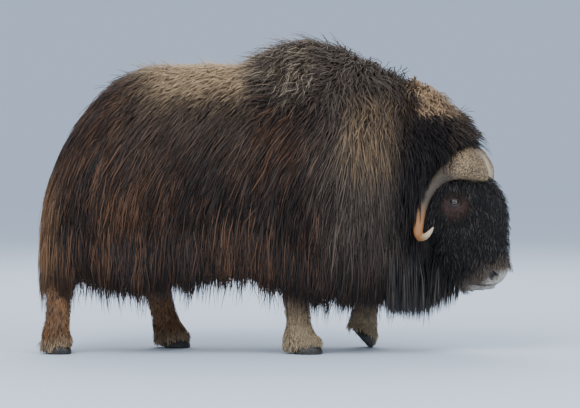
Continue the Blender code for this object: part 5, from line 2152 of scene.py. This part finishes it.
@dataclass
class Muskox:
    """The whole animal."""

    trunk: Trunk = field(default_factory=Trunk)
    head: Head = field(default_factory=Head)
    tail_middle: Colour = (-0.905, 0.0, 0.80)
    tail_radii: Colour = (0.030, 0.030, 0.12)
    tail_lean: float = math.radians(18)
    mane_end: float = 0.86
    flank_ends: tuple[float, ...] = (RUMP_X, -0.72, -0.36, 0.0, MANE_X)
    flank_tufts: int = 7900
    mane_tufts: int = 6200
    woolly_tufts: int = 8500
    throat_tufts: int = 1500
    beard_tufts: int = 3100
    crown_tufts: int = 2400
    face_tufts: int = 10500
    leg_tufts: int = 6000

    def flesh(self) -> bpy.types.Object:
        """Makes one skin for trunk, neck, head, ears, legs and tail.

        Returns:
            The skin.
        """
        skin = self.trunk.body()
        lean = Matrix.Rotation(self.tail_lean, 3, "Y")
        fused(skin, [ball("tail", self.tail_middle, self.tail_radii, lean)], voxel=0.0135, smooth=2)
        for name, rows in LEGS.items():
            combine(skin, Leg(rows, FEET[name]).build(), "UNION")
        combine(skin, self.head.build(), "UNION")
        mark_skin(skin)
        return skin

    def dress_coat(self, coat: Coat) -> None:
        """Builds and dresses the hair.

        Args:
            coat: The hair's maker.
        """
        fur = {name: FurFinish(name).material() for name in ("coat", "mane", "face", "leg")}
        for i, (first, last) in enumerate(zip(self.flank_ends, self.flank_ends[1:])):
            flank = coat.long_hair(self.flank_tufts, first, last, i).build(f"long_hair_{i + 1}")
            dress(flank, fur["coat"], "coat")
        for name, slot, tufts in (
            ("mane_hair", "mane", coat.long_hair(self.mane_tufts, MANE_X, self.mane_end, 5)),
            ("woolly_hair", "mane", coat.woolly_hair(self.woolly_tufts, 6)),
            ("throat_hair", "mane", coat.throat_hair(self.throat_tufts, 7)),
            ("beard", "face", coat.beard(self.beard_tufts, 8)),
            ("crown_hair", "mane", coat.crown(self.crown_tufts, 9)),
            ("face_hair", "face", coat.face_hair(self.face_tufts, 10)),
            ("leg_hair", "leg", coat.leg_hair(self.leg_tufts, 11)),
        ):
            dress(tufts.build(name), fur[slot], slot)

    def build(self) -> None:
        """Builds and dresses every piece."""
        skin = self.flesh()
        body = Surface(skin)
        legs = [f"leg_{name}" for name in LEGS]
        dress(skin, SkinFinish().material(), "coat", "torso", "neck", "head", "tail", "ear_left",
              "ear_right", *legs)
        self.dress_coat(Coat(self.trunk, self.trunk.outline(), body))
        horn, eye, hoof = HornFinish().material(), EyeFinish().material(), HoofFinish().material()
        for side in Side:
            word = side.name.lower()
            dress(Horn(side).build(f"horn_{word}_piece"), horn, "horn", f"horn_{word}")
            dress(Eye(side).build(f"eye_{word}_piece"), eye, "eye", f"eye_{word}")
            for leg, foot in FEET.items():
                dress(Claw(foot, side).build(f"claw_{leg}_{word}"), hoof, "hoof", f"hoof_{leg}_{word}")


@dataclass
class Studio:
    """The floor, the light and the camera."""

    target: Colour = (0.083, 0.0, 0.657)
    distance: float = 15.0
    lens: float = 208.0
    height: float = math.radians(2.5)
    floor_size: float = 80.0
    floor_colour: Colour = (0.66, 0.73, 0.82)
    level: float = 17.0
    sweep: float = 0.035
    sky_colour: Colour = (0.72, 0.81, 0.95)
    sky_strength: float = 0.95
    lamps: tuple[tuple[Colour, float, float], ...] = (
        ((-2.5, -5.0, 6.0), 5.0, 420.0), ((4.5, -4.0, 4.0), 4.0, 200.0), ((0.0, 5.0, 5.0), 5.0, 260.0),
    )
    lamp_colour: Colour = (0.93, 0.96, 1.0)
    lamp_aim: Colour = (0.0, 0.0, 0.7)

    def floor(self) -> None:
        """A plain pale floor that runs up behind."""
        deselect()
        bpy.ops.mesh.primitive_grid_add(x_subdivisions=4, y_subdivisions=80, size=self.floor_size)
        floor = bpy.context.object
        floor.name = "floor"
        points = points_of(floor)
        points[:, 2] = -0.0005 + self.sweep * np.maximum(points[:, 1] - self.level, 0.0) ** 2
        set_points(floor, points)
        floor.data.shade_smooth()
        shader = Shader("floor", Roughness=0.9)
        shader.main.inputs["Base Color"].default_value = (*self.floor_colour, 1.0)
        floor.data.materials.append(shader.material)

    def light(self) -> None:
        """Soft light from above and all round."""
        world = bpy.data.worlds.new("studio")
        bpy.context.scene.world = world
        world.use_nodes = True
        back = world.node_tree.nodes["Background"]
        back.inputs["Color"].default_value = (*self.sky_colour, 1.0)
        back.inputs["Strength"].default_value = self.sky_strength
        for place, size, power in self.lamps:
            data = bpy.data.lights.new("panel", "AREA")
            data.size = size
            data.energy = power
            data.color = self.lamp_colour
            light = bpy.data.objects.new("panel", data)
            light.location = place
            aim = Vector(self.lamp_aim) - Vector(place)
            light.rotation_euler = aim.to_track_quat("-Z", "Y").to_euler()
            bpy.context.scene.collection.objects.link(light)

    def camera(self) -> None:
        """A long lens level with the animal's side."""
        data = bpy.data.cameras.new("camera")
        data.lens = self.lens
        camera = bpy.data.objects.new("camera", data)
        away = Vector((0, -math.cos(self.height), math.sin(self.height))) * self.distance
        camera.location = Vector(self.target) + away
        camera.rotation_euler = (-away).to_track_quat("-Z", "Y").to_euler()
        bpy.context.scene.collection.objects.link(camera)
        bpy.context.scene.camera = camera


def main() -> None:
    """Builds the animal and its studio."""
    logging.basicConfig(level=logging.INFO, format="%(message)s")
    Muskox().build()
    studio = Studio()
    studio.floor()
    studio.light()
    studio.camera()


if __name__ == "__main__":
    main()
